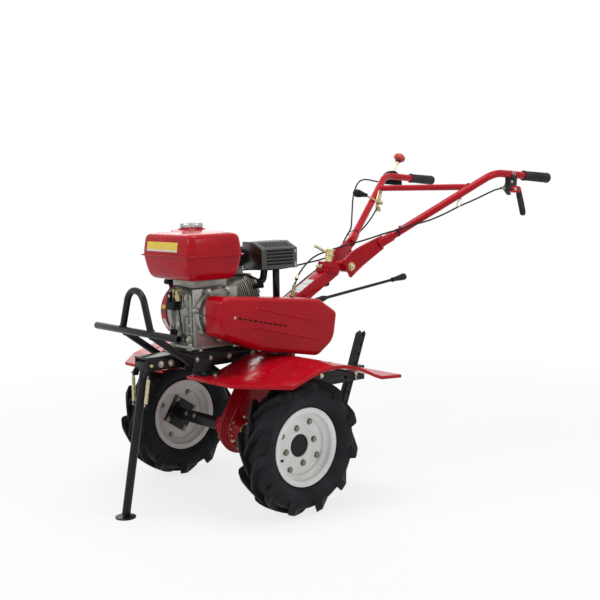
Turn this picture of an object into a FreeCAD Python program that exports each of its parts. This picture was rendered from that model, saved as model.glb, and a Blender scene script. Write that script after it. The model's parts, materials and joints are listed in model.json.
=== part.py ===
import FreeCAD, Part
import math
import os
import re

import Sketcher
from FreeCAD import Placement, Rotation, Vector

# A two-wheel garden tiller with an air-cooled petrol engine.
# Millimetres; +Z up, the engine end towards -Y, the machine's left side towards +X.
# Heights are taken from the ground. Lengths along Y are taken from the wheel axle,
# and every sub-part is then moved by AXLE_Y, so that the part stands centred on its origin.

doc = FreeCAD.newDocument("GardenTiller")
sheet = doc.addObject("Spreadsheet::Sheet", "sizes")

SIZES = [
    # wheels
    ("tyre_radius", 200, "tyre, over the lugs"),
    ("tyre_width", 105, "tyre section width"),
    ("tyre_wall", 9, "tyre side wall thickness"),
    ("tread_wall", 16, "tyre thickness under the tread"),
    ("track", 620, "between the wheels' middle planes"),
    ("rim_radius", 115.5, "rim flange radius"),
    ("rim_width", 70, "over the rim flanges"),
    ("rim_sheet", 3, "rim sheet thickness"),
    ("bead_radius", 102, "bead seat radius"),
    ("well_radius", 88, "radius of the rim's drop well"),
    ("well_width", 26, "width of the rim's drop well"),
    ("bead_width", 14, "width of each bead seat"),
    ("disc_sheet", 5, "wheel disc thickness"),
    ("rim_hole_radius", 34, "hole in the middle of the wheel disc"),
    ("hub_plate_side", 94, "side of the square hub plate"),
    ("hub_plate_sheet", 8, "hub plate thickness"),
    ("hub_bolt_circle", 54, "radius of the wheel bolts' circle"),
    ("hub_bolt_hole", 5.5, "radius of a wheel bolt hole"),
    ("wheel_turn", -33, "turn of the wheels at rest, degrees"),
    ("hub_tube_radius", 20, "axle tube radius"),
    ("tube_clearance", 1, "running gap from axle tube to boss"),
    ("shaft_radius", 12.5, "output shaft radius"),
    ("shaft_depth", 22, "length of output shaft inside the gear case boss"),
    # gear case
    ("case_width", 66, "gear case width"),
    ("case_radius", 76, "radius of the gear case's round ends"),
    ("case_low_y", 20, "lower round end behind the axle"),
    ("case_low_z", 194, "height of the lower round end"),
    ("case_top_y", 185, "upper round end behind the axle"),
    ("case_top_z", 460, "height of the upper round end"),
    ("case_wall", 8, "gear case wall thickness"),
    ("boss_radius", 30, "radius of the axle bosses"),
    ("boss_length", 33, "length of each axle boss"),
    ("pedestal_front", 118, "front of the column's seat"),
    ("pedestal_length", 118, "length of the column's seat"),
    ("pedestal_width", 58, "width of the column's seat"),
    ("pedestal_top", 545, "height of the column's seat"),
    ("input_y", 172, "input shaft behind the axle"),
    ("input_z", 502, "input shaft height"),
    ("input_radius", 28, "input boss radius"),
    # frame
    ("rail_gap", 66.6, "clear width between the frame rails"),
    ("rail_width", 27, "rail width"),
    ("rail_height", 44, "rail height"),
    ("rail_wall", 5, "rail wall thickness"),
    ("rail_bottom", 421, "height of the rails' underside"),
    ("rail_front", 222, "front end of the rails, ahead of the axle"),
    ("rail_rear", 190, "rear end of the rails, behind the axle"),
    ("bed_sheet", 6, "engine bed thickness"),
    ("bed_width", 156, "engine bed width"),
    ("bed_front", 197, "front edge of the engine bed, ahead of the axle"),
    ("bed_rear", 6, "rear edge of the engine bed, ahead of the axle"),
    ("bracket_front", 335, "front end of the front bracket, ahead of the axle"),
    ("bracket_rear", 160, "rear end of the front bracket, ahead of the axle"),
    ("bracket_width", 66, "front bracket width"),
    ("bracket_bottom", 425, "height of the front bracket's lower edges"),
    ("bracket_wall", 6, "front bracket wall thickness"),
    # bumper
    ("bar_half", 221, "half length of the bumper bar"),
    ("bar_ahead", 349, "bumper bar ahead of the axle"),
    ("bar_height", 540, "height of the bumper bar"),
    ("bar_radius", 10.5, "bumper tube radius"),
    ("bar_wall", 2.5, "bumper tube wall"),
    ("hoop_half", 77, "half width of the hoop at the bar"),
    ("hoop_ahead", 346, "hoop ahead of the axle"),
    ("hoop_top", 660, "height of the hoop's top centre line"),
    ("hoop_bend", 48, "bend radius of the hoop's top"),
    ("hoop_radius", 10, "hoop tube radius"),
    ("leg_foot_ahead", 212, "lower ends of the bumper legs, ahead of the axle"),
    ("leg_foot_height", 442, "height of the bumper legs' lower ends"),
    # front stand
    ("pivot_ahead", 322, "stand pivot ahead of the axle"),
    ("pivot_height", 441, "height of the stand pivot"),
    ("stand_lean", 10.4, "forward lean of the stand leg, degrees"),
    ("leg_radius", 12.5, "stand leg radius"),
    ("knuckle_half", 26, "half width of the leg's knuckle"),
    ("knuckle_radius", 16, "radius of the leg's knuckle"),
    ("knuckle_drop", 20, "knuckle below its pin"),
    ("pin_radius", 5, "stand pin radius"),
    ("foot_radius", 30, "foot plate radius"),
    ("foot_sheet", 5, "foot plate thickness"),
    ("spring_radius", 6, "stand spring radius"),
    ("spring_wire", 1.5, "radius of the springs' end hooks"),
    ("spring_pin", 3, "radius of the pins that the springs hang on"),
    ("spring_ahead", 336, "upper spring pins ahead of the axle"),
    ("spring_top", 414, "height of the springs' upper hooks"),
    ("spring_low", 322, "height of the springs' lower hooks"),
    ("spring_half_top", 42, "upper hooks from the middle plane"),
    ("spring_half_low", 31, "lower hooks from the middle plane"),
    # engine
    ("crank_ahead", 108, "crankshaft ahead of the axle"),
    ("crank_height", 578, "height of the crankshaft"),
    ("case_left", 62, "crankcase from the middle plane, belt side"),
    ("case_right", 72, "crankcase from the middle plane, fan side"),
    ("crank_ahead_front", 180, "front face of the crankcase, ahead of the axle"),
    ("crank_ahead_rear", 30, "rear face of the crankcase, ahead of the axle"),
    ("crankcase_top", 657, "height of the crankcase top"),
    ("crankcase_round", 22, "corner radius of the crankcase"),
    ("cover_radius", 76, "crankcase cover radius"),
    ("foot_front", 192, "front edge of the engine foot, ahead of the axle"),
    ("foot_rear", 20, "rear edge of the engine foot, ahead of the axle"),
    ("engine_foot", 12, "engine foot thickness"),
    ("cover_depth", 26, "depth of the crankcase cover"),
    ("pto_radius", 24, "radius of the output boss"),
    ("cylinder_tilt", 20, "cylinder above the horizontal, degrees"),
    ("barrel_start", 74, "barrel from the crankshaft"),
    ("barrel_end", 150, "barrel end from the crankshaft"),
    ("barrel_radius", 36, "barrel radius"),
    ("fin_radius", 50, "fin radius"),
    ("fin_sheet", 3, "fin thickness"),
    ("fin_count", 8, "number of fins"),
    ("fin_start", 18, "first fin from the start of the barrel"),
    ("head_length", 52, "cylinder head with its cover"),
    ("head_side", 84, "side of the cylinder head"),
    ("fan_radius", 89, "recoil housing radius"),
    ("fan_depth", 52, "recoil housing depth"),
    ("fan_round", 18, "edge radius of the recoil housing"),
    # tank
    ("tank_x", 8, "tank's middle towards the belt side"),
    ("tank_ahead", 150, "tank's middle ahead of the axle"),
    ("tank_width", 262, "tank across, without its seam"),
    ("tank_length", 196, "tank fore and aft, without its seam"),
    ("seam_height", 755, "height of the tank's seam"),
    ("seam_sheet", 3, "seam thickness"),
    ("seam_reach", 7, "seam beyond the tank's side"),
    ("tank_corner", 34, "corner radius of the tank"),
    ("tank_rise", 64, "upper shell above the seam"),
    ("tank_drop", 73, "lower shell below the seam"),
    ("crown_rise", 14, "crown above the upper shell"),
    ("cap_radius", 34, "fuel cap radius"),
    ("cap_height", 17, "fuel cap height"),
    # muffler
    ("guard_left", 100, "outer side of the muffler guard"),
    ("guard_right", 4, "inner side of the muffler guard"),
    ("guard_front", 42, "front of the muffler guard, behind the axle"),
    ("guard_rear", 184, "rear of the muffler guard, behind the axle"),
    ("guard_bottom", 700, "height of the guard's lower edge"),
    ("guard_top", 784, "height of the guard's top"),
    ("guard_slope_x", 46, "width of the guard's sloping edge"),
    ("guard_slope_z", 21, "height of the guard's sloping edge"),
    ("guard_sheet", 2, "guard sheet thickness"),
    ("muffler_gap", 12, "between the muffler and its guard"),
    ("pipe_radius", 11, "exhaust pipe radius"),
    ("pipe_wall", 2, "exhaust pipe wall"),
    # belt cover
    ("cover_out", 185, "outer face of the belt cover"),
    ("cover_in", 105, "inner edge of the belt cover"),
    ("cover_sheet", 2, "belt cover sheet thickness"),
    ("plate_sheet", 3, "belt cover back plate thickness"),
    ("cover_round", 14, "belt cover edge radius"),
    # fenders
    ("fender_in", 64, "inner edge of a fender from the middle plane"),
    ("fender_out", 415, "outer edge of a fender from the middle plane"),
    ("fender_kink", 280, "where the front edge turns back"),
    ("fender_front", 220, "front edge ahead of the axle"),
    ("fender_cut", 107, "end of the turned back edge, ahead of the axle"),
    ("fender_rear", 322, "rear edge behind the axle"),
    ("fender_sheet", 2, "fender sheet thickness"),
    ("fender_lip", 10, "height of the folded edge"),
    ("fender_low", 404, "height of the fender's front"),
    ("fender_high", 440, "height of the fender's arch"),
    ("fender_tail", 382, "height of the fender's rear"),
    # handle column
    ("column_width", 50, "column across the machine"),
    ("column_depth", 40, "column depth, square to its length"),
    ("column_wall", 3, "column wall thickness"),
    ("column_angle", 29, "column above the horizontal, degrees"),
    ("column_y", 321, "a point of the column's centre line, behind the axle"),
    ("column_z", 620, "height of that point"),
    ("swivel_y", 400, "swivel centre behind the axle"),
    ("swivel_z", 663, "height of the swivel centre"),
    ("swivel_lean", 10, "rearward lean of the swivel axis, degrees"),
    ("swivel_disc", 38, "radius of the toothed swivel discs"),
    ("swivel_sheet", 12, "thickness of a swivel disc"),
    ("tilt_reach", 62, "tilt bolt behind the swivel axis"),
    ("tilt_rise", 31, "tilt bolt above the swivel's seat"),
    ("head_half", 41.7, "half width of the swivel head"),
    ("head_block", 36, "top of the swivel head above its seat"),
    ("tilt_radius", 20, "radius of the head's ears"),
    ("tilt_bolt", 6, "tilt bolt radius"),
    ("nut_radius", 13, "clamp nut radius"),
    ("nut_height", 45, "clamp nut height"),
    ("nut_lever", 66, "length of the clamp nut's lever"),
    ("nut_lever_radius", 4.5, "radius of the clamp nut's lever"),
    # handlebars
    ("tube_radius", 13, "handlebar tube radius"),
    ("tube_wall", 2, "handlebar tube wall"),
    ("root_x", 73, "handlebar tube from the middle plane, at its root"),
    ("root_y", 581, "root of the handlebar tube behind the axle"),
    ("root_z", 757, "height of the handlebar tube's root"),
    ("knee_x", 265, "handlebar bend from the middle plane"),
    ("knee_y", 947, "handlebar bend behind the axle"),
    ("knee_z", 989, "height of the handlebar bend"),
    ("end_x", 280, "handlebar end from the middle plane"),
    ("end_y", 1226, "handlebar end behind the axle"),
    ("end_z", 970, "height of the handlebar's end"),
    ("knee_bend", 110, "radius of the handlebar bend"),
    ("brace_y", 872, "cross brace behind the axle"),
    ("brace_radius", 11, "cross brace radius"),
    ("sleeve_wall", 3, "bracket sleeve wall"),
    ("sleeve_length", 46, "bracket sleeve length"),
    ("cheek_sheet", 5, "bracket cheek thickness"),
    ("grip_radius", 16.5, "grip radius"),
    ("grip_length", 134, "grip length"),
    ("grip_cap", 4, "thickness of the grip's closed end"),
    # controls and cables
    ("clutch_along", 88, "clutch clamp behind the handlebar bend, along the bar"),
    ("clamp_half", 13, "half width of the clutch clamp's ring"),
    ("clamp_wall", 4.7, "wall of the clutch clamp's ring"),
    ("housing_along", 64, "shift housing behind the handlebar bend, along the bar"),
    ("housing_drop", 30, "flat bottom of the shift housing below the bar's centre line"),
    ("housing_radius", 52, "shift housing radius"),
    ("housing_depth", 22, "shift housing depth"),
    ("housing_wall", 3, "shift housing wall"),
    ("stem_along", 12, "shift stem behind the housing's middle"),
    ("stem_lean", 32, "rearward lean of the shift stem, degrees"),
    ("stem_radius", 4, "radius of the shift stem"),
    ("stem_length", 62, "length of the shift stem, above its housing"),
    ("knob_radius", 21, "radius of the shift knob"),
    ("throttle_along", 348, "throttle bracket from the handlebar's root, along the bar"),
    ("throttle_sheet", 4, "throttle bracket thickness"),
    ("pivot_boss", 8, "radius of the throttle lever's boss"),
    ("pivot_reach", 16, "length of the throttle lever's boss"),
    ("throttle_rod", 4, "radius of the throttle lever"),
    ("throttle_knob", 11, "radius of the throttle lever's knob"),
    ("cable_radius", 2.8, "cable radius"),
    # hitch and depth bar
    ("hitch_width", 36, "hitch arm width"),
    ("hitch_wall", 4.5, "hitch arm wall"),
    ("hitch_bottom", 286, "height of the hitch arm's lower edge"),
    ("hitch_top", 334, "height of the hitch arm's top"),
    ("hitch_rear", 552, "rear end of the hitch arm behind the axle"),
    ("depth_side", 24, "side of the depth bar"),
    ("depth_wall", 3, "depth bar wall thickness"),
    ("depth_lean", 21, "rearward lean of the depth bar, degrees"),
    ("depth_pin_y", 503, "hitch pin behind the axle"),
    ("depth_pin_z", 312, "height of the hitch pin"),
    ("depth_above", 152, "depth bar above the hitch pin, along the bar"),
    ("depth_below", 180, "depth bar below the hitch pin, along the bar"),
    ("depth_hole", 5, "radius of the depth bar's holes"),
    ("depth_pitch", 34, "pitch of the depth bar's holes"),
    ("hitch_pin", 4.7, "hitch pin radius"),
    ("pin_reach", 12, "hitch pin beyond each side of the arm"),
    ("hitch_bore", 6.2, "radius of the free implement bore"),
    ("hitch_bore_y", 462, "implement bore behind the axle"),
    ("hitch_bore_z", 304, "height of the implement bore"),
    # clearances
    ("fit", 0.3, "gap between pieces that seat on each other"),
]

NAMES = {}
for row, (name, size, use) in enumerate(SIZES, start=1):
    sheet.set("A%d" % row, name)
    sheet.set("B%d" % row, str(size))
    sheet.set("C%d" % row, use)
    sheet.setAlias("B%d" % row, name)
    NAMES[name] = size
doc.recompute()

KEPT = []


def say(text):
    """An expression on the sheet's named cells, from plain names."""
    def cell(match):
        return "sizes." + match.group() if match.group() in NAMES else match.group()

    return re.sub(r"[a-z]+[a-z0-9_]*", cell, str(text))


def num(text):
    """The value of such an expression now."""
    return float(sheet.evalExpression(say(text)))


def at(x, y, z):
    """A point from three expressions."""
    return Vector(num(x), num(y), num(z))


FOOT_Y = "(0 - pivot_ahead - pivot_height * tan(stand_lean * 1 deg))"
END_RUN = "sqrt((end_x - knee_x)^2 + (end_y - knee_y)^2 + (end_z - knee_z)^2)"
END_ALONG = "((end_y - knee_y) / %s)" % END_RUN
REAR_Y = "(end_y + grip_cap * %s + grip_radius * sqrt(1 - %s^2))" % (END_ALONG, END_ALONG)
AXLE_Y = "((foot_radius - %s - %s) / 2)" % (FOOT_Y, REAR_Y)


def keep(thing, label, x="0", y="0", z="0", turn=None):
    """Name a sub-part and put it in its place beside the axle."""
    thing.Label = label
    if turn is not None:
        thing.Placement = Placement(Vector(0, 0, 0), turn)
    thing.setExpression("Placement.Base.x", say(x))
    thing.setExpression("Placement.Base.y", say("%s + (%s)" % (AXLE_Y, y)))
    thing.setExpression("Placement.Base.z", say(z))
    KEPT.append(thing)
    return thing


def body(name):
    """An empty PartDesign body."""
    return doc.addObject("PartDesign::Body", name)


def plane(holder, role):
    """One of a body's own origin planes."""
    return [item for item in holder.Origin.OriginFeatures if item.Role == role][0]


def sketch(holder, role, offset="0"):
    """A sketch on one of the body's planes, moved along that plane's normal."""
    flat = holder.newObject("Sketcher::SketchObject", holder.Name + "_sketch")
    flat.AttachmentSupport = (plane(holder, role), "")
    flat.MapMode = "FlatFace"
    flat.setExpression("AttachmentOffset.Base.z", say(offset))
    return flat


def dimension(flat, kind, item, point, text):
    """Tie one coordinate of a sketch point to the sheet."""
    index = flat.addConstraint(Sketcher.Constraint(kind, -1, 1, item, point, num(text)))
    flat.setExpression("Constraints[%d]" % index, say(text))


def outline(holder, role, corners, offset="0"):
    """A sketch of straight edges through corners given as expression pairs."""
    flat = sketch(holder, role, offset)
    spots = [Vector(num(u), num(v), 0) for u, v in corners]
    count = len(spots)
    for index in range(count):
        flat.addGeometry(Part.LineSegment(spots[index], spots[(index + 1) % count]), False)
    for index in range(count):
        flat.addConstraint(Sketcher.Constraint("Coincident", index, 2, (index + 1) % count, 1))
    for index, (u, v) in enumerate(corners):
        dimension(flat, "DistanceX", index, 1, u)
        dimension(flat, "DistanceY", index, 1, v)
    return flat


def box_outline(holder, role, u0, u1, v0, v1, offset="0"):
    """A rectangle between two pairs of expressions."""
    return outline(holder, role, [(u0, v0), (u1, v0), (u1, v1), (u0, v1)], offset)


def circles(holder, role, rounds, offset="0"):
    """A sketch of circles, each from expressions for its middle and radius."""
    flat = sketch(holder, role, offset)
    for index, (u, v, radius) in enumerate(rounds):
        flat.addGeometry(Part.Circle(Vector(num(u), num(v), 0), Vector(0, 0, 1), num(radius)), False)
        dimension(flat, "DistanceX", index, 3, u)
        dimension(flat, "DistanceY", index, 3, v)
        size = flat.addConstraint(Sketcher.Constraint("Radius", index, num(radius)))
        flat.setExpression("Constraints[%d]" % size, say(radius))
    return flat


def pad(holder, flat, length, middle=False, back=False):
    """Pad a sketch."""
    block = holder.newObject("PartDesign::Pad", holder.Name + "_pad")
    block.Profile = flat
    block.setExpression("Length", say(length))
    block.Midplane = middle
    block.Reversed = back
    return block


def pocket(holder, flat, length, middle=False, back=False):
    """Cut a sketch out of the body, and make sure that it cut something."""
    doc.recompute()
    before = holder.Shape.Volume
    cut = holder.newObject("PartDesign::Pocket", holder.Name + "_pocket")
    cut.Profile = flat
    cut.setExpression("Length", say(length))
    cut.Midplane = middle
    cut.Reversed = back
    doc.recompute()
    if not holder.Shape.Volume < before:
        raise ValueError("the pocket in %s cuts nothing" % holder.Name)
    return cut


def revolve(holder, flat, axis="H_Axis"):
    """Turn a sketch right round one of its own axes."""
    ring = holder.newObject("PartDesign::Revolution", holder.Name + "_turned")
    ring.Profile = flat
    ring.ReferenceAxis = (flat, [axis])
    ring.Angle = 360
    return ring


def fillet(holder, radius, pick):
    """Round the edges of the body's tip that pick() accepts."""
    doc.recompute()
    base = holder.Tip
    edges = ["Edge%d" % (i + 1) for i, edge in enumerate(base.Shape.Edges) if pick(edge)]
    soft = holder.newObject("PartDesign::Fillet", holder.Name + "_round")
    soft.Base = (base, edges)
    soft.setExpression("Radius", say(radius))
    doc.recompute()
    return soft


def along(edge, axis):
    """True for a straight edge parallel to an axis."""
    if len(edge.Vertexes) != 2 or not isinstance(edge.Curve, Part.Line):
        return False
    line = edge.Vertexes[1].Point - edge.Vertexes[0].Point
    return line.getAngle(axis) < 0.01 or line.getAngle(axis) > math.pi - 0.01


def feature(name, shape):
    """A Part::Feature around a shape that was worked out here."""
    thing = doc.addObject("Part::Feature", name)
    thing.Shape = shape
    return thing


def rod(start, end, radius, bore=0):
    """A straight round bar or tube between two points."""
    line = end - start
    solid = Part.makeCylinder(radius, line.Length, start, line)
    if bore:
        solid = solid.cut(Part.makeCylinder(bore, line.Length, start, line))
    return solid


def bent_wire(points, bend):
    """Straight runs joined by tangent arcs; bend is one radius or one for each corner."""
    edges = []
    here = points[0]
    for index in range(1, len(points) - 1):
        corner = points[index]
        into = (corner - points[index - 1]).normalize()
        out = (points[index + 1] - corner).normalize()
        turn = into.getAngle(out)
        radius = bend if isinstance(bend, (int, float)) else bend[index - 1]
        back = radius * math.tan(turn / 2)
        first = corner - into * back
        last = corner + out * back
        middle = corner + (out - into).normalize() * (radius / math.cos(turn / 2) - radius)
        edges.append(Part.LineSegment(here, first).toShape())
        edges.append(Part.Arc(first, middle, last).toShape())
        here = last
    edges.append(Part.LineSegment(here, points[-1]).toShape())
    return Part.Wire(edges)


def sweep(wire, radius):
    """A round bar along a wire."""
    start = wire.Edges[0].valueAt(wire.Edges[0].FirstParameter)
    facing = wire.Edges[0].tangentAt(wire.Edges[0].FirstParameter)
    ring = Part.Wire(Part.makeCircle(radius, start, facing))
    return wire.makePipeShell([ring], True, True)


def cable(points, breaks):
    """A cable in stretches that meet in the middle of the runs named in breaks.

    Each arc is as large as its two runs allow. Prints the cable's length and radii.
    """
    radius = num("cable_radius")
    bends = []
    for index in range(1, len(points) - 1):
        into = points[index] - points[index - 1]
        out = points[index + 1] - points[index]
        shorter = min(into.Length, out.Length)
        bends.append(0.45 * shorter / math.tan(into.getAngle(out) / 2))
    middles = [(points[run] + points[run + 1]) * 0.5 for run in breaks]
    starts = [points[0]] + middles
    ends = middles + [points[-1]]
    firsts = [1] + [run + 1 for run in breaks]
    lasts = breaks + [len(points) - 2]
    stretches = []
    length = 0
    for start, end, first, last in zip(starts, ends, firsts, lasts):
        wire = bent_wire([start] + points[first:last + 1] + [end], bends[first - 1:last])
        length += wire.Length
        stretches.append(sweep(wire, radius))
    volume = sum(stretch.Volume for stretch in stretches)
    share = volume / (math.pi * radius ** 2 * length)
    print("cable", round(length), "mm, radii", [round(b) for b in bends], "volume share", round(share, 3))
    return stretches


# --------------------------------------------------------------------------- wheels

def bolt_holes():
    """The four wheel bolts' holes, square to the hub plate."""
    across = "hub_bolt_circle / sqrt(2) * %d"
    return [(across % u, across % v, "hub_bolt_hole") for u in (-1, 1) for v in (-1, 1)]


def rim(side):
    """Pressed two-flange rim with its flat disc, turned about the axle."""
    shell = body("rim_" + side)
    half = "(rim_width / 2)"
    seat = "(rim_width / 2 - rim_sheet)"
    shoulder = "(rim_width / 2 - rim_sheet - bead_width)"
    face = [
        ("0 - %s" % half, "rim_radius"),
        ("0 - %s" % seat, "rim_radius"),
        ("0 - %s" % seat, "bead_radius"),
        ("0 - %s" % shoulder, "bead_radius"),
        ("0 - well_width / 2", "well_radius"),
        ("well_width / 2", "well_radius"),
        (shoulder, "bead_radius"),
        (seat, "bead_radius"),
        (seat, "rim_radius"),
        (half, "rim_radius"),
        (half, "bead_radius - rim_sheet"),
        (shoulder, "bead_radius - rim_sheet"),
        ("well_width / 2", "well_radius - rim_sheet"),
        ("disc_sheet / 2", "well_radius - rim_sheet"),
        ("disc_sheet / 2", "rim_hole_radius"),
        ("0 - disc_sheet / 2", "rim_hole_radius"),
        ("0 - disc_sheet / 2", "well_radius - rim_sheet"),
        ("0 - well_width / 2", "well_radius - rim_sheet"),
        ("0 - %s" % shoulder, "bead_radius - rim_sheet"),
        ("0 - %s" % half, "bead_radius - rim_sheet"),
    ]
    revolve(shell, outline(shell, "XY_Plane", face))
    holes = circles(shell, "YZ_Plane", bolt_holes())
    pocket(shell, holes, "disc_sheet * 3", middle=True)
    return shell


def tyre(side):
    """Tyre carcass, open towards the rim, as wide and high as its lugs."""
    ring = body("tyre_" + side)
    bead = "(rim_width / 2 - rim_sheet - fit)"
    bulge = "(tyre_width / 2)"
    low = "(bead_radius + fit)"
    right = [
        (bead, low),
        (bead, "rim_radius + 1"),
        (bulge, "(rim_radius + tyre_radius) / 2 - 6"),
        ("%s - 3" % bulge, "tyre_radius - 14"),
        ("%s - 14" % bulge, "tyre_radius"),
    ]
    inner = [
        ("%s - 22" % bulge, "tyre_radius - tread_wall"),
        ("%s - tyre_wall - 3" % bulge, "tyre_radius - tread_wall - 8"),
        ("%s - tyre_wall" % bulge, "(rim_radius + tyre_radius) / 2 - 6"),
        ("%s - tyre_wall" % bead, "rim_radius + 3"),
        ("%s - tyre_wall" % bead, low),
    ]
    mirror = [("0 - (%s)" % u, v) for u, v in reversed(right)]
    inner_mirror = [("0 - (%s)" % u, v) for u, v in reversed(inner)]
    revolve(ring, outline(ring, "XY_Plane", right + mirror + inner_mirror + inner))
    return ring


def hub(side, sign):
    """Square hub plate, axle tube and the half shaft that turns in the gear case."""
    arm = body("hub_" + side)
    half = "hub_plate_side / 2"
    face = "(0 - disc_sheet / 2 - fit)"
    plate = box_outline(arm, "YZ_Plane", "0 - " + half, half, "0 - " + half, half, "%d * %s" % (sign, face))
    pad(arm, plate, "hub_plate_sheet", back=sign > 0)
    plate_back = "%d * (%s - hub_plate_sheet)" % (sign, face)
    to_boss = "%s - hub_plate_sheet + track / 2 - case_width / 2 - boss_length" % face
    tube = circles(arm, "YZ_Plane", [("0", "0", "hub_tube_radius")], plate_back)
    pad(arm, tube, to_boss + " - tube_clearance", back=sign > 0)
    shaft = circles(arm, "YZ_Plane", [("0", "0", "shaft_radius")], plate_back)
    pad(arm, shaft, to_boss + " + shaft_depth", back=sign > 0)
    holes = circles(arm, "YZ_Plane", bolt_holes())
    pocket(arm, holes, "hub_plate_sheet * 4", middle=True)
    return arm


def wheels():
    """Both wheels, each of three pieces that turn together."""
    for side, sign in (("left", 1), ("right", -1)):
        where = "%d * track / 2" % sign
        turn = Rotation(Vector(1, 0, 0), num("wheel_turn"))
        keep(rim(side), "rim_" + side, where, "0", "tyre_radius", turn)
        keep(tyre(side), "tyre_" + side, where, "0", "tyre_radius")
        keep(hub(side, sign), "hub_" + side, where, "0", "tyre_radius", turn)


# --------------------------------------------------------------------------- gear case

CASE_RUN = "sqrt((case_top_y - case_low_y)^2 + (case_top_z - case_low_z)^2)"


def case_side(sign, end, radius):
    """Corner of the gear case's straight flanks: side +1 is the rear one."""
    along_y = "(case_top_z - case_low_z) / %s" % CASE_RUN
    along_z = "(case_top_y - case_low_y) / %s" % CASE_RUN
    y = "case_%s_y + %d * (%s) * %s" % (end, sign, radius, along_y)
    z = "case_%s_z - %d * (%s) * %s" % (end, sign, radius, along_z)
    return y, z


def stadium(holder, radius, length, back, shape):
    """The gear case's outline with round ends, padded or cut from the middle plane."""
    flanks = [case_side(-1, "low", radius), case_side(1, "low", radius),
              case_side(1, "top", radius), case_side(-1, "top", radius)]
    shape(holder, outline(holder, "YZ_Plane", flanks), length, back=back)
    for end in ("low", "top"):
        ring = circles(holder, "YZ_Plane", [("case_%s_y" % end, "case_%s_z" % end, radius)])
        shape(holder, ring, length, back=back)


def gear_case():
    """Chain and gear case between the rails: two hollow halves that meet in the middle plane."""
    inside = "(case_width / 2 - case_wall)"
    for side, sign in (("left", 1), ("right", -1)):
        half = body("gear_case_" + side)
        stadium(half, "case_radius", "case_width / 2", sign < 0, pad)
        seat = box_outline(half, "YZ_Plane", "pedestal_front", "pedestal_front + pedestal_length",
                           "case_top_z", "pedestal_top")
        pad(half, seat, "pedestal_width / 2", back=sign < 0)
        stadium(half, "case_radius - case_wall", inside, sign > 0, pocket)
        boss = circles(half, "YZ_Plane", [("0", "tyre_radius", "boss_radius")], "%d * %s" % (sign, inside))
        pad(half, boss, "case_wall + boss_length", back=sign < 0)
        if sign > 0:
            entry = circles(half, "YZ_Plane", [("input_y", "input_z", "input_radius")], inside)
            pad(half, entry, "cover_in - plate_sheet - fit - " + inside)
        bore = circles(half, "YZ_Plane", [("0", "tyre_radius", "shaft_radius + fit")])
        pocket(half, bore, "case_width + 4 * boss_length", middle=True)
        keep(half, "gear_case_" + side)


# --------------------------------------------------------------------------- frame

def rail_solid(sign):
    """One channel rail, open towards the gear case."""
    inner = num("rail_gap / 2")
    width = num("rail_width")
    low = num("rail_bottom")
    high = num("rail_height")
    wall = num("rail_wall")
    length = num("rail_front + rail_rear")
    front = -num("rail_front")
    block = Part.makeBox(width, length, high, Vector(inner, front, low))
    hollow = Part.makeBox(width, length, high - 2 * wall, Vector(inner - wall, front, low + wall))
    rail = block.cut(hollow)
    if sign < 0:
        rail = rail.mirror(Vector(0, 0, 0), Vector(1, 0, 0))
    return rail


def frame():
    """Rails, engine bed and front bracket."""
    keep(feature("frame_rails", Part.makeCompound([rail_solid(1), rail_solid(-1)])), "frame_rails")
    bed = body("engine_bed")
    top = "rail_bottom + rail_height + fit"
    sheet_outline = box_outline(bed, "XY_Plane", "0 - bed_width / 2", "bed_width / 2",
                                "0 - bed_front", "0 - bed_rear", top)
    pad(bed, sheet_outline, "bed_sheet")
    keep(bed, "engine_bed")
    bracket = body("front_bracket")
    half = "bracket_width / 2"
    roof = "rail_bottom + rail_height - fit"
    walls = [
        ("0 - " + half, "bracket_bottom"),
        ("0 - %s + bracket_wall" % half, "bracket_bottom"),
        ("0 - %s + bracket_wall" % half, roof + " - bracket_wall"),
        (half + " - bracket_wall", roof + " - bracket_wall"),
        (half + " - bracket_wall", "bracket_bottom"),
        (half, "bracket_bottom"),
        (half, roof),
        ("0 - " + half, roof),
    ]
    pad(bracket, outline(bracket, "XZ_Plane", walls, "bracket_rear"), "bracket_front - bracket_rear")
    for sign in (-1, 1):
        tab = [
            ("0 - spring_ahead - 8", "spring_top - 6"),
            ("0 - spring_ahead + 8", "spring_top - 6"),
            ("0 - spring_ahead + 16", "bracket_bottom + 8"),
            ("0 - bracket_front", "bracket_bottom + 8"),
            ("0 - spring_ahead - 8", "spring_top + 8"),
        ]
        side = outline(bracket, "YZ_Plane", tab, "%d * %s" % (sign, half))
        pad(bracket, side, "bracket_wall", back=sign > 0)
        peg = circles(bracket, "YZ_Plane", [("0 - spring_ahead", "spring_top", "spring_pin")],
                      "%d * (%s - bracket_wall)" % (sign, half))
        pad(bracket, peg, "spring_half_top + spring_radius + 2 - %s + bracket_wall" % half, back=sign < 0)
    hole = circles(bracket, "YZ_Plane", [("0 - pivot_ahead", "pivot_height", "pin_radius + fit / 2")])
    pocket(bracket, hole, "bracket_width * 2", middle=True)
    keep(bracket, "front_bracket")
    pin = doc.addObject("Part::Cylinder", "stand_pin")
    pin.setExpression("Radius", say("pin_radius"))
    pin.setExpression("Height", say("bracket_width + 12"))
    keep(pin, "stand_pin", "0 - bracket_width / 2 - 6", "0 - pivot_ahead", "pivot_height",
         Rotation(Vector(0, 1, 0), 90))


# --------------------------------------------------------------------------- bumper

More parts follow.
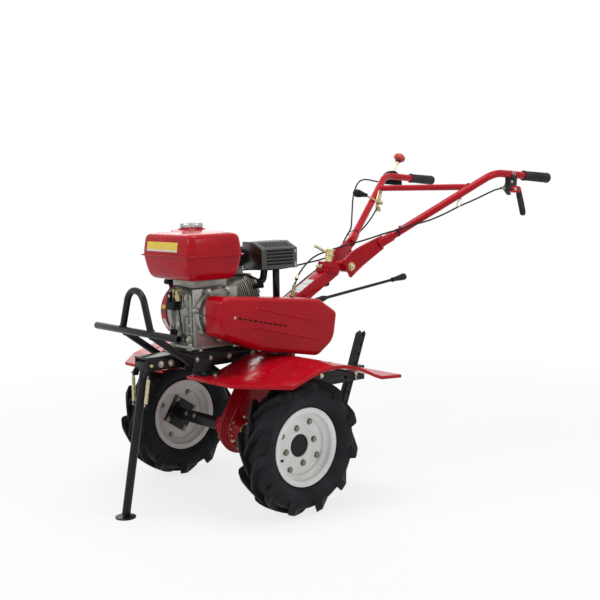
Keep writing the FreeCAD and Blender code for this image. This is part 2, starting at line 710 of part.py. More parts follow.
def bumper():
    """Cross bar, hoop and two legs of round tube."""
    bar = body("bumper_bar")
    outside = circles(bar, "YZ_Plane", [("0 - bar_ahead", "bar_height", "bar_radius")])
    pad(bar, outside, "2 * bar_half", middle=True)
    bore = circles(bar, "YZ_Plane", [("0 - bar_ahead", "bar_height", "bar_radius - bar_wall")])
    pocket(bar, bore, "4 * bar_half", middle=True)
    keep(bar, "bumper_bar")

    half = num("hoop_half")
    base = num("bar_height")
    top = num("hoop_top")
    bend = num("hoop_bend")
    ahead = -num("hoop_ahead")
    centre = top - bend
    slope = math.acos(bend / math.hypot(half, centre - base)) - math.atan2(centre - base, half)
    touch = Vector(bend * math.cos(slope), ahead, centre + bend * math.sin(slope))
    left = Part.LineSegment(Vector(half, ahead, base), touch).toShape()
    arc = Part.Arc(touch, Vector(0, ahead, top), Vector(-touch.x, ahead, touch.z)).toShape()
    right = Part.LineSegment(Vector(-touch.x, ahead, touch.z), Vector(-half, ahead, base)).toShape()
    hoop = sweep(Part.Wire([left, arc, right]), num("hoop_radius"))
    pipe = Part.makeCylinder(num("bar_radius + fit"), 2 * num("bar_half"),
                             at("0 - bar_half", "0 - bar_ahead", "bar_height"), Vector(1, 0, 0))
    under = Part.makeBox(4 * half, 80, 60, Vector(-2 * half, ahead - 40, base - 60))
    keep(feature("bumper_hoop", hoop.cut(pipe).cut(under)), "bumper_hoop")

    legs = []
    over = Part.makeBox(4 * half, 80, 60, Vector(-2 * half, ahead - 40, base))
    for sign in (1, -1):
        x = "%d * (rail_gap / 2 + rail_width + bar_radius + fit)" % sign
        high = at(x, "0 - bar_ahead", "bar_height")
        low = at(x, "0 - leg_foot_ahead", "leg_foot_height")
        leg = rod(high, low, num("bar_radius"), num("bar_radius - bar_wall")).cut(pipe).cut(over)
        legs.append(max(leg.Solids, key=lambda s: s.Volume))
    keep(feature("bumper_legs", Part.makeCompound(legs)), "bumper_legs")


# --------------------------------------------------------------------------- front stand

def front_stand():
    """Stand leg with its knuckle and foot plate, and the two springs beside it."""
    drop = "(pivot_height - foot_sheet)"
    leg = body("stand_leg")
    run = "(%s / cos(stand_lean * 1 deg) - leg_radius * tan(stand_lean * 1 deg))" % drop
    pad(leg, circles(leg, "XY_Plane", [("0", "0", "leg_radius")], "0 - " + run), run + " - pin_radius - 6")
    knuckle = box_outline(leg, "YZ_Plane", "0 - knuckle_radius * 0.7", "knuckle_radius * 0.7",
                          "0 - knuckle_drop", "0")
    pad(leg, knuckle, "2 * knuckle_half", middle=True)
    crown = circles(leg, "YZ_Plane", [("0", "0", "knuckle_radius * 0.9")])
    pad(leg, crown, "2 * knuckle_half", middle=True)
    hole = circles(leg, "YZ_Plane", [("0", "0", "pin_radius + fit / 2")])
    pocket(leg, hole, "4 * knuckle_half", middle=True)
    turn = Rotation(Vector(1, 0, 0), -num("stand_lean"))
    level = "0 - (pivot_height - spring_low) / cos(stand_lean * 1 deg)"
    peg = circles(leg, "YZ_Plane", [("0", level, "spring_pin")])
    pad(leg, peg, "2 * (spring_half_low + spring_radius + 2)", middle=True)
    keep(leg, "stand_leg", "0", "0 - pivot_ahead", "pivot_height", turn)

    foot = doc.addObject("Part::Cylinder", "stand_foot")
    foot.setExpression("Radius", say("foot_radius"))
    foot.setExpression("Height", say("foot_sheet - fit"))
    keep(foot, "stand_foot", "0", FOOT_Y, "0")

    lean = math.tan(math.radians(num("stand_lean")))
    coils = []
    for sign in (-1, 1):
        depth = num("pivot_height - spring_low")
        top = at("%d * spring_half_top" % sign, "0 - spring_ahead", "spring_top - spring_pin - fit")
        low = Vector(sign * num("spring_half_low"), -num("pivot_ahead") - depth * lean,
                     num("spring_low + spring_pin + fit"))
        down = (low - top).normalize()
        hook = num("spring_radius") * 1.6
        coil = rod(top + down * hook, low - down * hook, num("spring_radius"))
        ends = [rod(top, top + down * (hook + 1), num("spring_wire")), rod(low - down * (hook + 1), low,
                                                                         num("spring_wire"))]
        coils.append(coil.fuse(ends).removeSplitter())
    keep(feature("stand_springs", Part.makeCompound(coils)), "stand_springs")


# --------------------------------------------------------------------------- engine

CRANK_Y = "(0 - crank_ahead)"
BED_TOP = "(rail_bottom + rail_height + bed_sheet + 2 * fit)"


def crankcase():
    """Crankcase with its foot, and the cover on the belt side."""
    block = body("crankcase")
    across = "case_left + case_right"
    start = "0 - case_right"
    foot = box_outline(block, "YZ_Plane", "0 - foot_front", "0 - foot_rear", BED_TOP,
                       BED_TOP + " + engine_foot", start)
    pad(block, foot, across)
    seat = (CRANK_Y + " + barrel_start * cos(cylinder_tilt * 1 deg)",
            "crank_height + barrel_start * sin(cylinder_tilt * 1 deg)")
    front = "0 - crank_ahead_front"
    rear = "0 - crank_ahead_rear"
    housing = [
        (front + " + 20", BED_TOP + " + 2"),
        (front, BED_TOP + " + 46"),
        (front, "crankcase_top - crankcase_round"),
        (front + " + crankcase_round", "crankcase_top"),
        (seat[0] + " - 50 * sin(cylinder_tilt * 1 deg) - 2", "crankcase_top"),
        (seat[0] + " - 46 * sin(cylinder_tilt * 1 deg)", seat[1] + " + 46 * cos(cylinder_tilt * 1 deg)"),
        (seat[0] + " + 50 * sin(cylinder_tilt * 1 deg)", seat[1] + " - 50 * cos(cylinder_tilt * 1 deg)"),
        (rear, BED_TOP + " + 50"),
        (rear, BED_TOP + " + 2"),
    ]
    pad(block, outline(block, "YZ_Plane", housing, start), across)
    keep(block, "crankcase")
    cover = body("crankcase_cover")
    lid = circles(cover, "YZ_Plane", [(CRANK_Y, "crank_height", "cover_radius")], "case_left + fit")
    pad(cover, lid, "cover_depth")
    boss = circles(cover, "YZ_Plane", [(CRANK_Y, "crank_height", "pto_radius")], "case_left + fit")
    pad(cover, boss, "cover_in - plate_sheet - 2 * fit - case_left")
    keep(cover, "crankcase_cover")


def cylinder():
    """Finned barrel and cylinder head, leaning back above the gear case."""
    turn = Rotation(Vector(1, 0, 0), num("cylinder_tilt") - 90)
    barrel = body("cylinder")
    pad(barrel, circles(barrel, "XY_Plane", [("0", "0", "barrel_radius")], "barrel_start + fit"),
        "barrel_end - barrel_start - 2 * fit")
    for index in range(int(num("fin_count"))):
        height = "barrel_start + fin_start + %d * (barrel_end - barrel_start - fin_start) / fin_count" % index
        pad(barrel, circles(barrel, "XY_Plane", [("0", "0", "fin_radius")], height), "fin_sheet")
    keep(barrel, "cylinder", "0", CRANK_Y, "crank_height", turn)
    head = body("cylinder_head")
    half = "head_side / 2"
    pad(head, box_outline(head, "XY_Plane", "0 - " + half, half, "0 - " + half, half, "barrel_end"),
        "head_length")
    keep(head, "cylinder_head", "0", CRANK_Y, "crank_height", turn)


def engine_sides():
    """Recoil housing, carburettor and air cleaner on the fan side."""
    housing = body("recoil_housing")
    seat = "0 - case_right - fit"
    round_face = circles(housing, "YZ_Plane", [(CRANK_Y, "crank_height", "fan_radius")], seat)
    pad(housing, round_face, "fan_depth", back=True)
    fillet(housing, "fan_round", lambda edge: isinstance(edge.Curve, Part.Circle) and edge.CenterOfMass.x
           < -num("case_right + fan_depth / 2"))
    keep(housing, "recoil_housing")
    carb = body("carburettor")
    pad(carb, box_outline(carb, "XY_Plane", "0 - 96", "0 - fin_radius - 2", "20", "84", "638"), "66.7")
    pad(carb, circles(carb, "YZ_Plane", [("62", "655", "15")], "0 - head_side / 2 - fit"), "20", back=True)
    keep(carb, "carburettor")
    cleaner = body("air_cleaner")
    pad(cleaner, box_outline(cleaner, "XY_Plane", "0 - 134", "0 - 30", "0 - 14", "118", "705"), "58")
    fillet(cleaner, "12", lambda edge: along(edge, Vector(0, 0, 1)) or edge.CenterOfMass.z > 762)
    keep(cleaner, "air_cleaner")


def fuel_tank():
    """Two pressed shells with a seam between them, and the screw cap."""
    tank = body("fuel_tank")
    half_w = "tank_width / 2"
    half_l = "tank_length / 2"
    upright = Vector(0, 0, 1)
    seam = box_outline(tank, "XY_Plane", "0 - %s" % half_w, half_w,
                       "0 - %s" % half_l, half_l, "0 - tank_drop")
    pad(tank, seam, "tank_drop + tank_rise")
    fillet(tank, "tank_corner", lambda edge: along(edge, upright))
    fillet(tank, "26", lambda edge: edge.CenterOfMass.z < -num("tank_drop") + 0.1)
    fillet(tank, "16", lambda edge: edge.CenterOfMass.z > num("tank_rise") - 0.1)
    inset = "(tank_corner)"
    crown = box_outline(tank, "XY_Plane", "0 - %s + %s" % (half_w, inset), half_w + " - " + inset,
                        "0 - %s + %s" % (half_l, inset), half_l + " - " + inset, "tank_rise")
    top = pad(tank, crown, "crown_rise")
    top.TaperAngle = -45
    rim_half_w = "(tank_width / 2 + seam_reach)"
    rim_half_l = "(tank_length / 2 + seam_reach)"
    flange = box_outline(tank, "XY_Plane", "0 - %s" % rim_half_w, rim_half_w,
                         "0 - %s" % rim_half_l, rim_half_l, "0 - seam_sheet / 2")
    pad(tank, flange, "seam_sheet")
    fillet(tank, "tank_corner", lambda edge: along(edge, upright) and edge.Length < num("seam_sheet") + 0.1)
    keep(tank, "fuel_tank", "tank_x", "0 - tank_ahead", "seam_height")
    cap = doc.addObject("Part::Cylinder", "fuel_cap")
    cap.setExpression("Radius", say("cap_radius"))
    cap.setExpression("Height", say("cap_height"))
    keep(cap, "fuel_cap", "tank_x", "0 - tank_ahead", "seam_height + tank_rise + crown_rise + fit")
    bracket = body("tank_bracket")
    base = "(crankcase_top + fit)"
    pad(bracket, box_outline(bracket, "XY_Plane", "0 - 60", "56", "0 - 176", "0 - 60", base),
        "seam_height - tank_drop - fit - %s" % base)
    keep(bracket, "tank_bracket")


def exhaust():
    """Muffler, its louvred guard, and the two short pipes below."""
    gap = "muffler_gap"
    muffler = body("muffler")
    pad(muffler, box_outline(muffler, "XY_Plane", "guard_right + " + gap, "guard_left - " + gap,
                             "guard_front + " + gap, "guard_rear - " + gap, "guard_bottom + 4"),
        "guard_top - guard_slope_z - guard_bottom - 8")
    fillet(muffler, "12", lambda edge: along(edge, Vector(0, 1, 0)))
    studs = [("guard_front + %s + %d" % (gap, y), "730", "6") for y in (24, 94)]
    pad(muffler, circles(muffler, "YZ_Plane", studs, "guard_right + guard_sheet + fit"), "30")
    pad(muffler, circles(muffler, "YZ_Plane", studs, "guard_left - guard_sheet - fit"), "30", back=True)
    keep(muffler, "muffler")

    def shell(inset, low):
        """The guard's cross-section, moved inwards by inset, as a closed face."""
        right = num("guard_right") + inset
        left = num("guard_left") - inset
        top = num("guard_top") - inset
        slope_x = num("guard_slope_x")
        slope_z = num("guard_slope_z")
        front = num("guard_front") + inset
        spots = [Vector(right, front, low), Vector(left, front, low), Vector(left, front, top - slope_z),
                 Vector(left - slope_x, front, top), Vector(right, front, top)]
        face = Part.Face(Part.makePolygon(spots + spots[:1]))
        return face.extrude(Vector(0, num("guard_rear - guard_front") - 2 * inset, 0))

    outer = shell(0, num("guard_bottom"))
    inner = shell(num("guard_sheet"), num("guard_bottom") - 10)
    keep(feature("muffler_guard", outer.cut(inner)), "muffler_guard")

    radius = num("pipe_radius")
    bore = num("pipe_radius - pipe_wall")
    roof = num("guard_bottom + 4 - fit")
    tilt = math.radians(num("cylinder_tilt"))
    away = num("barrel_end + head_length + fit")
    port = Vector(26, -num("crank_ahead") + away * math.cos(tilt) - 6 * math.sin(tilt),
                  num("crank_height") + away * math.sin(tilt) + 6 * math.cos(tilt))
    out = port + Vector(0, math.cos(tilt), math.sin(tilt)) * 26
    inlet = bent_wire([port, out, Vector(out.x + 8, out.y + 2, roof + 6)], 14)
    lid = Part.makeBox(400, 400, 100, Vector(-200, -100, roof))
    pipes = [sweep(inlet, radius).cut(sweep(inlet, bore)).cut(lid)]
    pipes.append(rod(at("52", "136", "602"), Vector(52, 136, roof), radius, bore))
    keep(feature("exhaust_pipes", Part.makeCompound(pipes)), "exhaust_pipes")


# --------------------------------------------------------------------------- belt cover and fenders

def rounded_face(spots, radius, x):
    """A face in a plane of constant x, its corners rounded; spots are (y, z, share of radius)."""
    corners = [Vector(x, y, z) for y, z, share in spots]
    edges = []
    count = len(corners)
    ends = []
    for index in range(count):
        corner = corners[index]
        into = (corner - corners[index - 1]).normalize()
        out = (corners[(index + 1) % count] - corner).normalize()
        turn = into.getAngle(out)
        bend = radius * spots[index][2]
        back = bend * math.tan(turn / 2)
        middle = corner + (out - into).normalize() * (bend / math.cos(turn / 2) - bend)
        ends.append((corner - into * back, middle, corner + out * back))
    for index in range(count):
        first, middle, last = ends[index]
        edges.append(Part.Arc(first, middle, last).toShape())
        edges.append(Part.LineSegment(last, ends[(index + 1) % count][0]).toShape())
    return Part.Face(Part.Wire(edges))


def belt_cover():
    """Pressed cover over the belt drive, open towards the machine, and the plate behind it."""
    spots = [(-174, 640, 2), (205, 604, 3), (277, 558, 1.6), (262, 470, 5), (196, 427, 3), (-28, 467, 4),
             (-174, 524, 1.2)]
    unit = 12
    inside = num("cover_in")
    outside = num("cover_out")
    wall = num("cover_sheet")
    outer = rounded_face(spots, unit, inside).extrude(Vector(outside - inside, 0, 0))
    soft = [edge for edge in outer.Edges if abs(edge.CenterOfMass.x - outside) < 0.01]
    outer = outer.makeFillet(num("cover_round"), soft)
    wire = rounded_face(spots, unit, inside).OuterWire.makeOffset2D(-wall)
    hollow = Part.Face(wire).extrude(Vector(outside - inside - wall, 0, 0))
    soft = [edge for edge in hollow.Edges if abs(edge.CenterOfMass.x - outside + wall) < 0.01]
    hollow = hollow.makeFillet(num("cover_round - cover_sheet"), soft)
    keep(feature("belt_cover", outer.cut(hollow)), "belt_cover")
    plate = rounded_face(spots, unit, inside - num("fit")).extrude(Vector(-num("plate_sheet - fit"), 0, 0))
    keep(feature("belt_back_plate", plate), "belt_back_plate")


def fender_solid():
    """Left fender: an arched sheet with a folded edge on its three free sides."""
    low = num("fender_low")
    high = num("fender_high")
    tail = num("fender_tail")
    front = -num("fender_front")
    rear = num("fender_rear")
    inner = num("fender_in")
    outer = num("fender_out")
    sheet_ = num("fender_sheet")
    spine = [Vector(0, -110, low - 1), Vector(0, -50, low + 19), Vector(0, 20, high - 0.5),
             Vector(0, 92, high - 2), Vector(0, 150, high - 16), Vector(0, 200, low - 2),
             Vector(0, 240, tail + 5)]
    curve = Part.BSplineCurve()
    curve.interpolate(spine)

    def strip(depth):
        """The arched sheet's section, depth thick, across the whole width."""
        down = Vector(0, 0, -depth)
        start = Vector(0, front, low)
        end = Vector(0, rear, tail)
        upper = [Part.LineSegment(start, spine[0]).toShape(), curve.toShape(),
                 Part.LineSegment(spine[-1], end).toShape()]
        lower = [edge.translated(down) for edge in upper]
        sides = [Part.LineSegment(start, start + down).toShape(), Part.LineSegment(end, end + down).toShape()]
        wire = Part.Wire(Part.__sortEdges__(upper + lower + sides))
        return Part.Face(wire).extrude(Vector(outer + 10, 0, 0))

    def plan(inset):
        """The fender's outline from above as a tall block; the inner edge isn't inset."""
        kink = num("fender_kink")
        cut = -num("fender_cut")
        spots = [Vector(inner - inset, front + inset, 0), Vector(kink - inset * 0.4, front + inset, 0),
                 Vector(outer - inset, cut + inset * 0.6, 0), Vector(outer - inset, rear - inset, 0),
                 Vector(inner - inset, rear - inset, 0)]
        return Part.Face(Part.makePolygon(spots + spots[:1])).extrude(Vector(0, 0, 1000))

    whole = plan(0)
    skin = strip(sheet_).common(whole)
    edge = strip(num("fender_lip")).common(whole).cut(plan(sheet_))
    return skin.fuse(edge).removeSplitter()


def fenders():
    """Both fenders and the brackets that carry them."""
    left = fender_solid()
    keep(feature("fender_left", left), "fender_left")
    keep(feature("fender_right", left.mirror(Vector(0, 0, 0), Vector(1, 0, 0))), "fender_right")
    face = "(rail_gap / 2 + rail_width + fit)"
    top = "(fender_low + fit)"
    angles = []
    for sign in (1, -1):
        spots = [at(x, "0 - 196", z) for x, z in (
            ("%d * %s" % (sign, face), top),
            ("%d * 112" % sign, top),
            ("%d * 112" % sign, top + " + 4"),
            ("%d * (%s + 4)" % (sign, face), top + " + 4"),
            ("%d * (%s + 4)" % (sign, face), "450"),
            ("%d * %s" % (sign, face), "450"),
        )]
        angles.append(Part.Face(Part.makePolygon(spots + spots[:1])).extrude(Vector(0, 68, 0)))
    keep(feature("fender_brackets", Part.makeCompound(angles)), "fender_brackets")
    stay = body("fender_stay")
    bar_top = "(fender_tail - fender_sheet - 1)"
    pad(stay, box_outline(stay, "XY_Plane", "0 - 250", "250", "256", "286", bar_top + " - 4"), "4")
    pad(stay, box_outline(stay, "XY_Plane", "0 - 15", "15", "264", "276", "hitch_top + fit"),
        bar_top + " - 2 - hitch_top - fit")
    keep(stay, "fender_stay")


# --------------------------------------------------------------------------- handle column and hitch

def handle_column():
    """Square column from the gear case to the swivel, cut to its two seats."""
    width = num("column_width")
    depth = num("column_depth")
    wall = num("column_wall")
    reach = 420
    base = Placement(at("0", "column_y", "column_z"), Rotation(Vector(1, 0, 0), num("column_angle")))
    outer = Part.makeBox(width, reach * 2, depth, Vector(-width / 2, -reach, -depth / 2))
    inner = Part.makeBox(width - 2 * wall, reach * 3, depth - 2 * wall,
                         Vector(-width / 2 + wall, -reach * 1.5, -depth / 2 + wall))
    tube = outer.cut(inner)
    tube.Placement = base
    ground = Part.makeBox(600, 2000, 1000, Vector(-300, -1000, num("pedestal_top + fit") - 1000))
    above = Part.makeBox(600, 1000, 400, Vector(-300, -500, 0))
    tilted = Rotation(Vector(1, 0, 0), -num("swivel_lean"))
    above.Placement = Placement(at("0", "swivel_y", "swivel_z"), tilted)
    tube = tube.cut(ground).cut(above)
    post = max(tube.Solids, key=lambda s: s.Volume)
    lean = Rotation(Vector(1, 0, 0), -num("swivel_lean"))
    seat = Part.makeCylinder(num("swivel_disc"), num("swivel_sheet"))
    seat.Placement = Placement(at("0", "swivel_y", "swivel_z"), lean)
    keep(feature("handle_column", post.fuse(seat).removeSplitter()), "handle_column")


def hitch():
    """Hitch arm behind the gear case, with the depth bar pinned in it."""
    arm = body("hitch_arm")
    half = "hitch_width / 2"
    slot = "(%s - hitch_wall)" % half
    walls = [
        ("0 - " + half, "hitch_bottom"),
        ("0 - " + slot, "hitch_bottom"),
        ("0 - " + slot, "hitch_top - hitch_wall"),
        (slot, "hitch_top - hitch_wall"),
        (slot, "hitch_bottom"),
        (half, "hitch_bottom"),
        (half, "hitch_top"),
        ("0 - " + half, "hitch_top"),
    ]
    start = "(case_low_y + (hitch_top - case_low_z) * (case_top_y - case_low_y) / (case_top_z - case_low_z)" \
            " + case_radius * %s / (case_top_z - case_low_z) + fit)" % CASE_RUN
    pad(arm, outline(arm, "XZ_Plane", walls, "0 - hitch_rear"), "hitch_rear - " + start)
    lean = "tan(depth_lean * 1 deg)"
    gap_y = "(depth_pin_y + (hitch_top - depth_pin_z) * %s)" % lean
    reach = "(depth_side / 2 / cos(depth_lean * 1 deg) + 5)"
    window = box_outline(arm, "XY_Plane", "0 - " + slot, slot, "%s - %s" % (gap_y, reach),
                         "%s + %s" % (gap_y, reach), "hitch_top - 2 * hitch_wall")
    pocket(arm, window, "4 * hitch_wall", back=True)
    hole = circles(arm, "YZ_Plane", [("depth_pin_y", "depth_pin_z", "hitch_pin + fit / 2"),
                                     ("hitch_bore_y", "hitch_bore_z", "hitch_bore")])
    pocket(arm, hole, "4 * hitch_width", middle=True)
    keep(arm, "hitch_arm")

    bar = body("depth_bar")
    side = "depth_side / 2"
    shape = [
        ("0 - " + side, "0 - depth_below"),
        (side, "0 - depth_below + 10"),
        (side, "depth_above - 8"),
        (side + " - 8", "depth_above"),
        ("0 - " + side, "depth_above - 14"),
    ]
    pad(bar, outline(bar, "YZ_Plane", shape), "depth_side", middle=True)
    rounds = [("0", "%d * depth_pitch" % step, "depth_hole") for step in range(-4, 5)]
    pocket(bar, circles(bar, "YZ_Plane", rounds), "4 * depth_side", middle=True)
    inner = "(depth_side / 2 - depth_wall)"
    bore = box_outline(bar, "XY_Plane", "0 - " + inner, inner, "0 - " + inner, inner)
    pocket(bar, bore, "4 * depth_below", middle=True)
    keep(bar, "depth_bar", "0", "depth_pin_y", "depth_pin_z", Rotation(Vector(1, 0, 0), -num("depth_lean")))

    pin = doc.addObject("Part::Cylinder", "hitch_pin")
    pin.setExpression("Radius", say("hitch_pin"))
    pin.setExpression("Height", say("hitch_width + 2 * pin_reach"))
    across = Rotation(Vector(0, 1, 0), 90)
    keep(pin, "hitch_pin", "0 - hitch_width / 2 - pin_reach", "depth_pin_y", "depth_pin_z", across)


def gear_lever():
    """Side lever that picks the gear, on a pin in the column."""
    start = at("column_width / 2 + fit", "262", "583")
    turn = at("75", "262", "583")
    end = at("85", "627", "630")
    grip = end + (end - turn).normalize() * 57
    lever = sweep(bent_wire([start, turn, end], 14), 5)
    knob = rod(end, grip, 9)
    keep(feature("gear_lever", lever.fuse(knob).removeSplitter()), "gear_lever")


# --------------------------------------------------------------------------- swivel head and handlebars

def swivel_place(v, w):
    """World y and z of a point of the swivel head: v behind the axis, w above its seat."""
    cosine = "cos(swivel_lean * 1 deg)"
    sine = "sin(swivel_lean * 1 deg)"
    return ("swivel_y + (%s) * %s + (%s) * %s" % (v, cosine, w, sine),
            "swivel_z - (%s) * %s + (%s) * %s" % (v, sine, w, cosine))


def swivel_head():
    """Upper toothed disc with the ears of the tilt bolt, its clamp nut, and the bolt."""
    turn = Rotation(Vector(1, 0, 0), -num("swivel_lean"))
    head = body("swivel_head")
    seat = "swivel_sheet + fit"
    pad(head, circles(head, "XY_Plane", [("0", "0", "swivel_disc")], seat), "swivel_sheet")
    block = [("0 - 20", seat), ("tilt_reach", seat + " + 2"), ("tilt_reach", "head_block + 8"),
             ("tilt_reach - 20", "head_block"), ("0 - 20", "head_block")]
    pad(head, outline(head, "YZ_Plane", block), "2 * head_half - 26", middle=True)
    ears = circles(head, "YZ_Plane", [("tilt_reach", "tilt_rise", "tilt_radius")])
    pad(head, ears, "2 * head_half", middle=True)
    hole = circles(head, "YZ_Plane", [("tilt_reach", "tilt_rise", "tilt_bolt + fit / 2")])
    pocket(head, hole, "4 * head_half", middle=True)
    keep(head, "swivel_head", "0", "swivel_y", "swivel_z", turn)

    y, z = swivel_place("tilt_reach", "tilt_rise")
    bolt = doc.addObject("Part::Cylinder", "tilt_bolt")
    bolt.setExpression("Radius", say("tilt_bolt"))
    length = "2 * (head_half + cheek_sheet + 12)"
    bolt.setExpression("Height", say(length))
    keep(bolt, "tilt_bolt", "0 - (%s) / 2" % length, y, z, Rotation(Vector(0, 1, 0), 90))

    nut = rod(at("0", "0", "head_block + fit"), at("0", "0", "head_block + nut_height"), num("nut_radius"))
    arm_start = at("0", "0", "head_block + nut_height - 17")
    arm_end = arm_start + Vector(-0.1, -1, 0.3).normalize() * num("nut_lever")
    nut = nut.fuse(rod(arm_start, arm_end, num("nut_lever_radius"))).removeSplitter()
    nut.Placement = Placement(Vector(0, 0, 0), turn)
    part = feature("clamp_nut", nut)
    keep(part, "clamp_nut", "0", "swivel_y", "swivel_z", turn)


ARM_ROOT = ("root_x", "root_y", "root_z")
ARM_KNEE = ("knee_x", "knee_y", "knee_z")
ARM_END = ("end_x", "end_y", "end_z")


def arm_wire():
    """Centre line of the left handlebar tube."""
    return bent_wire([at(*ARM_ROOT), at(*ARM_KNEE), at(*ARM_END)], num("knee_bend"))


def mirrored(shape):
    """The same shape on the other side of the machine."""
    return shape.mirror(Vector(0, 0, 0), Vector(1, 0, 0))


def handlebars():
    """Two bent tubes in their brackets, with a cross brace and rubber grips."""
    wire = arm_wire()
    tube = sweep(wire, num("tube_radius")).cut(sweep(wire, num("tube_radius - tube_wall")))
    root = at(*ARM_ROOT)
    aim = (at(*ARM_KNEE) - root).normalize()
    sleeve_end = root + aim * num("sleeve_length")
    start = root - aim * 8
    bore = num("tube_radius + fit")
    sleeve = rod(start, sleeve_end, bore + num("sleeve_wall"))
    hollow = rod(root - aim * num("fit"), sleeve_end, bore)

    inner = num("head_half + fit")
    thick = num("cheek_sheet")
    flat_end = num("root_y") - 76
    plate_end = num("root_y") + 8
    flare = (root.x - inner - thick / 2) / 76
    side = flare * (plate_end - flat_end)
    spots = [Vector(inner, 380, 500), Vector(inner, flat_end, 500), Vector(inner + side, plate_end, 500),
             Vector(inner + side + thick * 1.05, plate_end, 500), Vector(inner + thick, flat_end, 500),
             Vector(inner + thick, 380, 500)]
    wall = Part.Face(Part.makePolygon(spots + spots[:1])).extrude(Vector(0, 0, 500))
    y, z = swivel_place("tilt_reach", "tilt_rise")
    bolt_y = num(y)
    bolt_z = num(z)
    profile = [Vector(0, bolt_y - 4, bolt_z - 37), Vector(0, plate_end, root.z - 20),
               Vector(0, plate_end, root.z + 22), Vector(0, bolt_y + 4, bolt_z + 44),
               Vector(0, bolt_y - 34, bolt_z + 17)]
    slab = Part.Face(Part.makePolygon(profile + profile[:1])).extrude(Vector(200, 0, 0))
    cheek = wall.common(slab)
    hole = Part.makeCylinder(num("tilt_bolt + fit / 2"), 200, Vector(0, bolt_y, bolt_z), Vector(1, 0, 0))
    bracket = cheek.fuse(sleeve).cut(hollow).cut(hole).removeSplitter()
    keep(feature("arm_brackets", Part.makeCompound([bracket, mirrored(bracket)])), "arm_brackets")
    keep(feature("handlebar_left", tube), "handlebar_left")
    keep(feature("handlebar_right", mirrored(tube)), "handlebar_right")

    share = (num("brace_y") - root.y) / (num("knee_y") - root.y)
    cross = root + (at(*ARM_KNEE) - root) * share
    brace = rod(Vector(-cross.x, cross.y, cross.z), cross, num("brace_radius"), num("brace_radius - 2"))
    solid = sweep(wire, num("tube_radius + fit / 2"))
    brace = brace.cut(solid).cut(mirrored(solid))
    keep(feature("cross_brace", max(brace.Solids, key=lambda s: s.Volume)), "cross_brace")

    end = at(*ARM_END)
    back = (at(*ARM_KNEE) - end).normalize()
    inner_end = end + back * (num("grip_length") - num("grip_cap"))
    grip = rod(end - back * num("grip_cap"), inner_end, num("grip_radius"))
    grip = grip.cut(rod(end, end + back * 400, num("tube_radius + fit")))
    keep(feature("grips", Part.makeCompound([grip, mirrored(grip)])), "grips")


def bar_point(along):
    """A point of the left bar's centre line, measured back from its bend."""
    knee = at(*ARM_KNEE)
    return knee + (at(*ARM_END) - knee).normalize() * num(along)


def beside(aim):
    """Two directions square to a left bar: outwards and upwards."""
    outward = aim.cross(Vector(0, 0, 1)).normalize()
    return outward, outward.cross(aim)


def clutch_control():
    """Clutch lever hinged in its clamp, under the left bar."""
    spot = bar_point("clutch_along")
    way = (at(*ARM_END) - at(*ARM_KNEE)).normalize()
    half = num("clamp_half")
    ring = rod(spot - way * half, spot + way * half, num("tube_radius + fit + clamp_wall"))
    stem = Part.makeBox(16, 30, 46, Vector(spot.x - 8, spot.y - 20, spot.z - 58))
    bore = rod(spot - way * 80, spot + way * 80, num("tube_radius + fit"))
    clamp = ring.fuse(stem).cut(bore).removeSplitter()
    lever = sweep(bent_wire([Vector(spot.x, spot.y + 10 + num("fit"), spot.z - 50),
                             Vector(spot.x, spot.y + 36, spot.z - 50),
                             Vector(spot.x, spot.y + 68, spot.z - 134)], 14), 5)
    keep(feature("clutch_clamp", clamp), "clutch_clamp")
    keep(feature("clutch_lever", lever), "clutch_lever")


def shift_control():
    """Half-round shift housing on the outer side of the right bar, with its stem and knob."""
    spot = bar_point("housing_along")
    way = (at(*ARM_END) - at(*ARM_KNEE)).normalize()
    outward, up = beside(way)
    base = spot - up * num("housing_drop") + outward * num("tube_radius + fit")

    def half_disc(radius):
        """The housing's shape, with its flat side down."""
        arch = Part.Arc(base - way * radius, base + up * radius, base + way * radius).toShape()
        flat = Part.LineSegment(base + way * radius, base - way * radius).toShape()
        return Part.Face(Part.Wire([arch, flat])).extrude(outward * num("housing_depth"))

    wall = num("housing_wall")
    hollow = half_disc(num("housing_radius - 2 * housing_wall")).translated(up * wall - outward * wall)
    housing = half_disc(num("housing_radius")).cut(hollow)
    keep(feature("shift_housing", mirrored(housing)), "shift_housing")
    lean = math.radians(num("stem_lean"))
    rise = num("sqrt(housing_radius^2 - stem_along^2)")
    foot = base + way * num("stem_along") + up * rise + outward * num("housing_depth / 2")
    aim = Vector(0, math.sin(lean), math.cos(lean))
    top = foot + aim * num("stem_length")
    stem = rod(foot - aim * num("stem_radius"), top, num("stem_radius"))
    stem = stem.cut(half_disc(num("housing_radius + fit")))
    lever = stem.fuse(Part.makeSphere(num("knob_radius"), top)).removeSplitter()
    keep(feature("shift_lever", mirrored(lever)), "shift_lever")


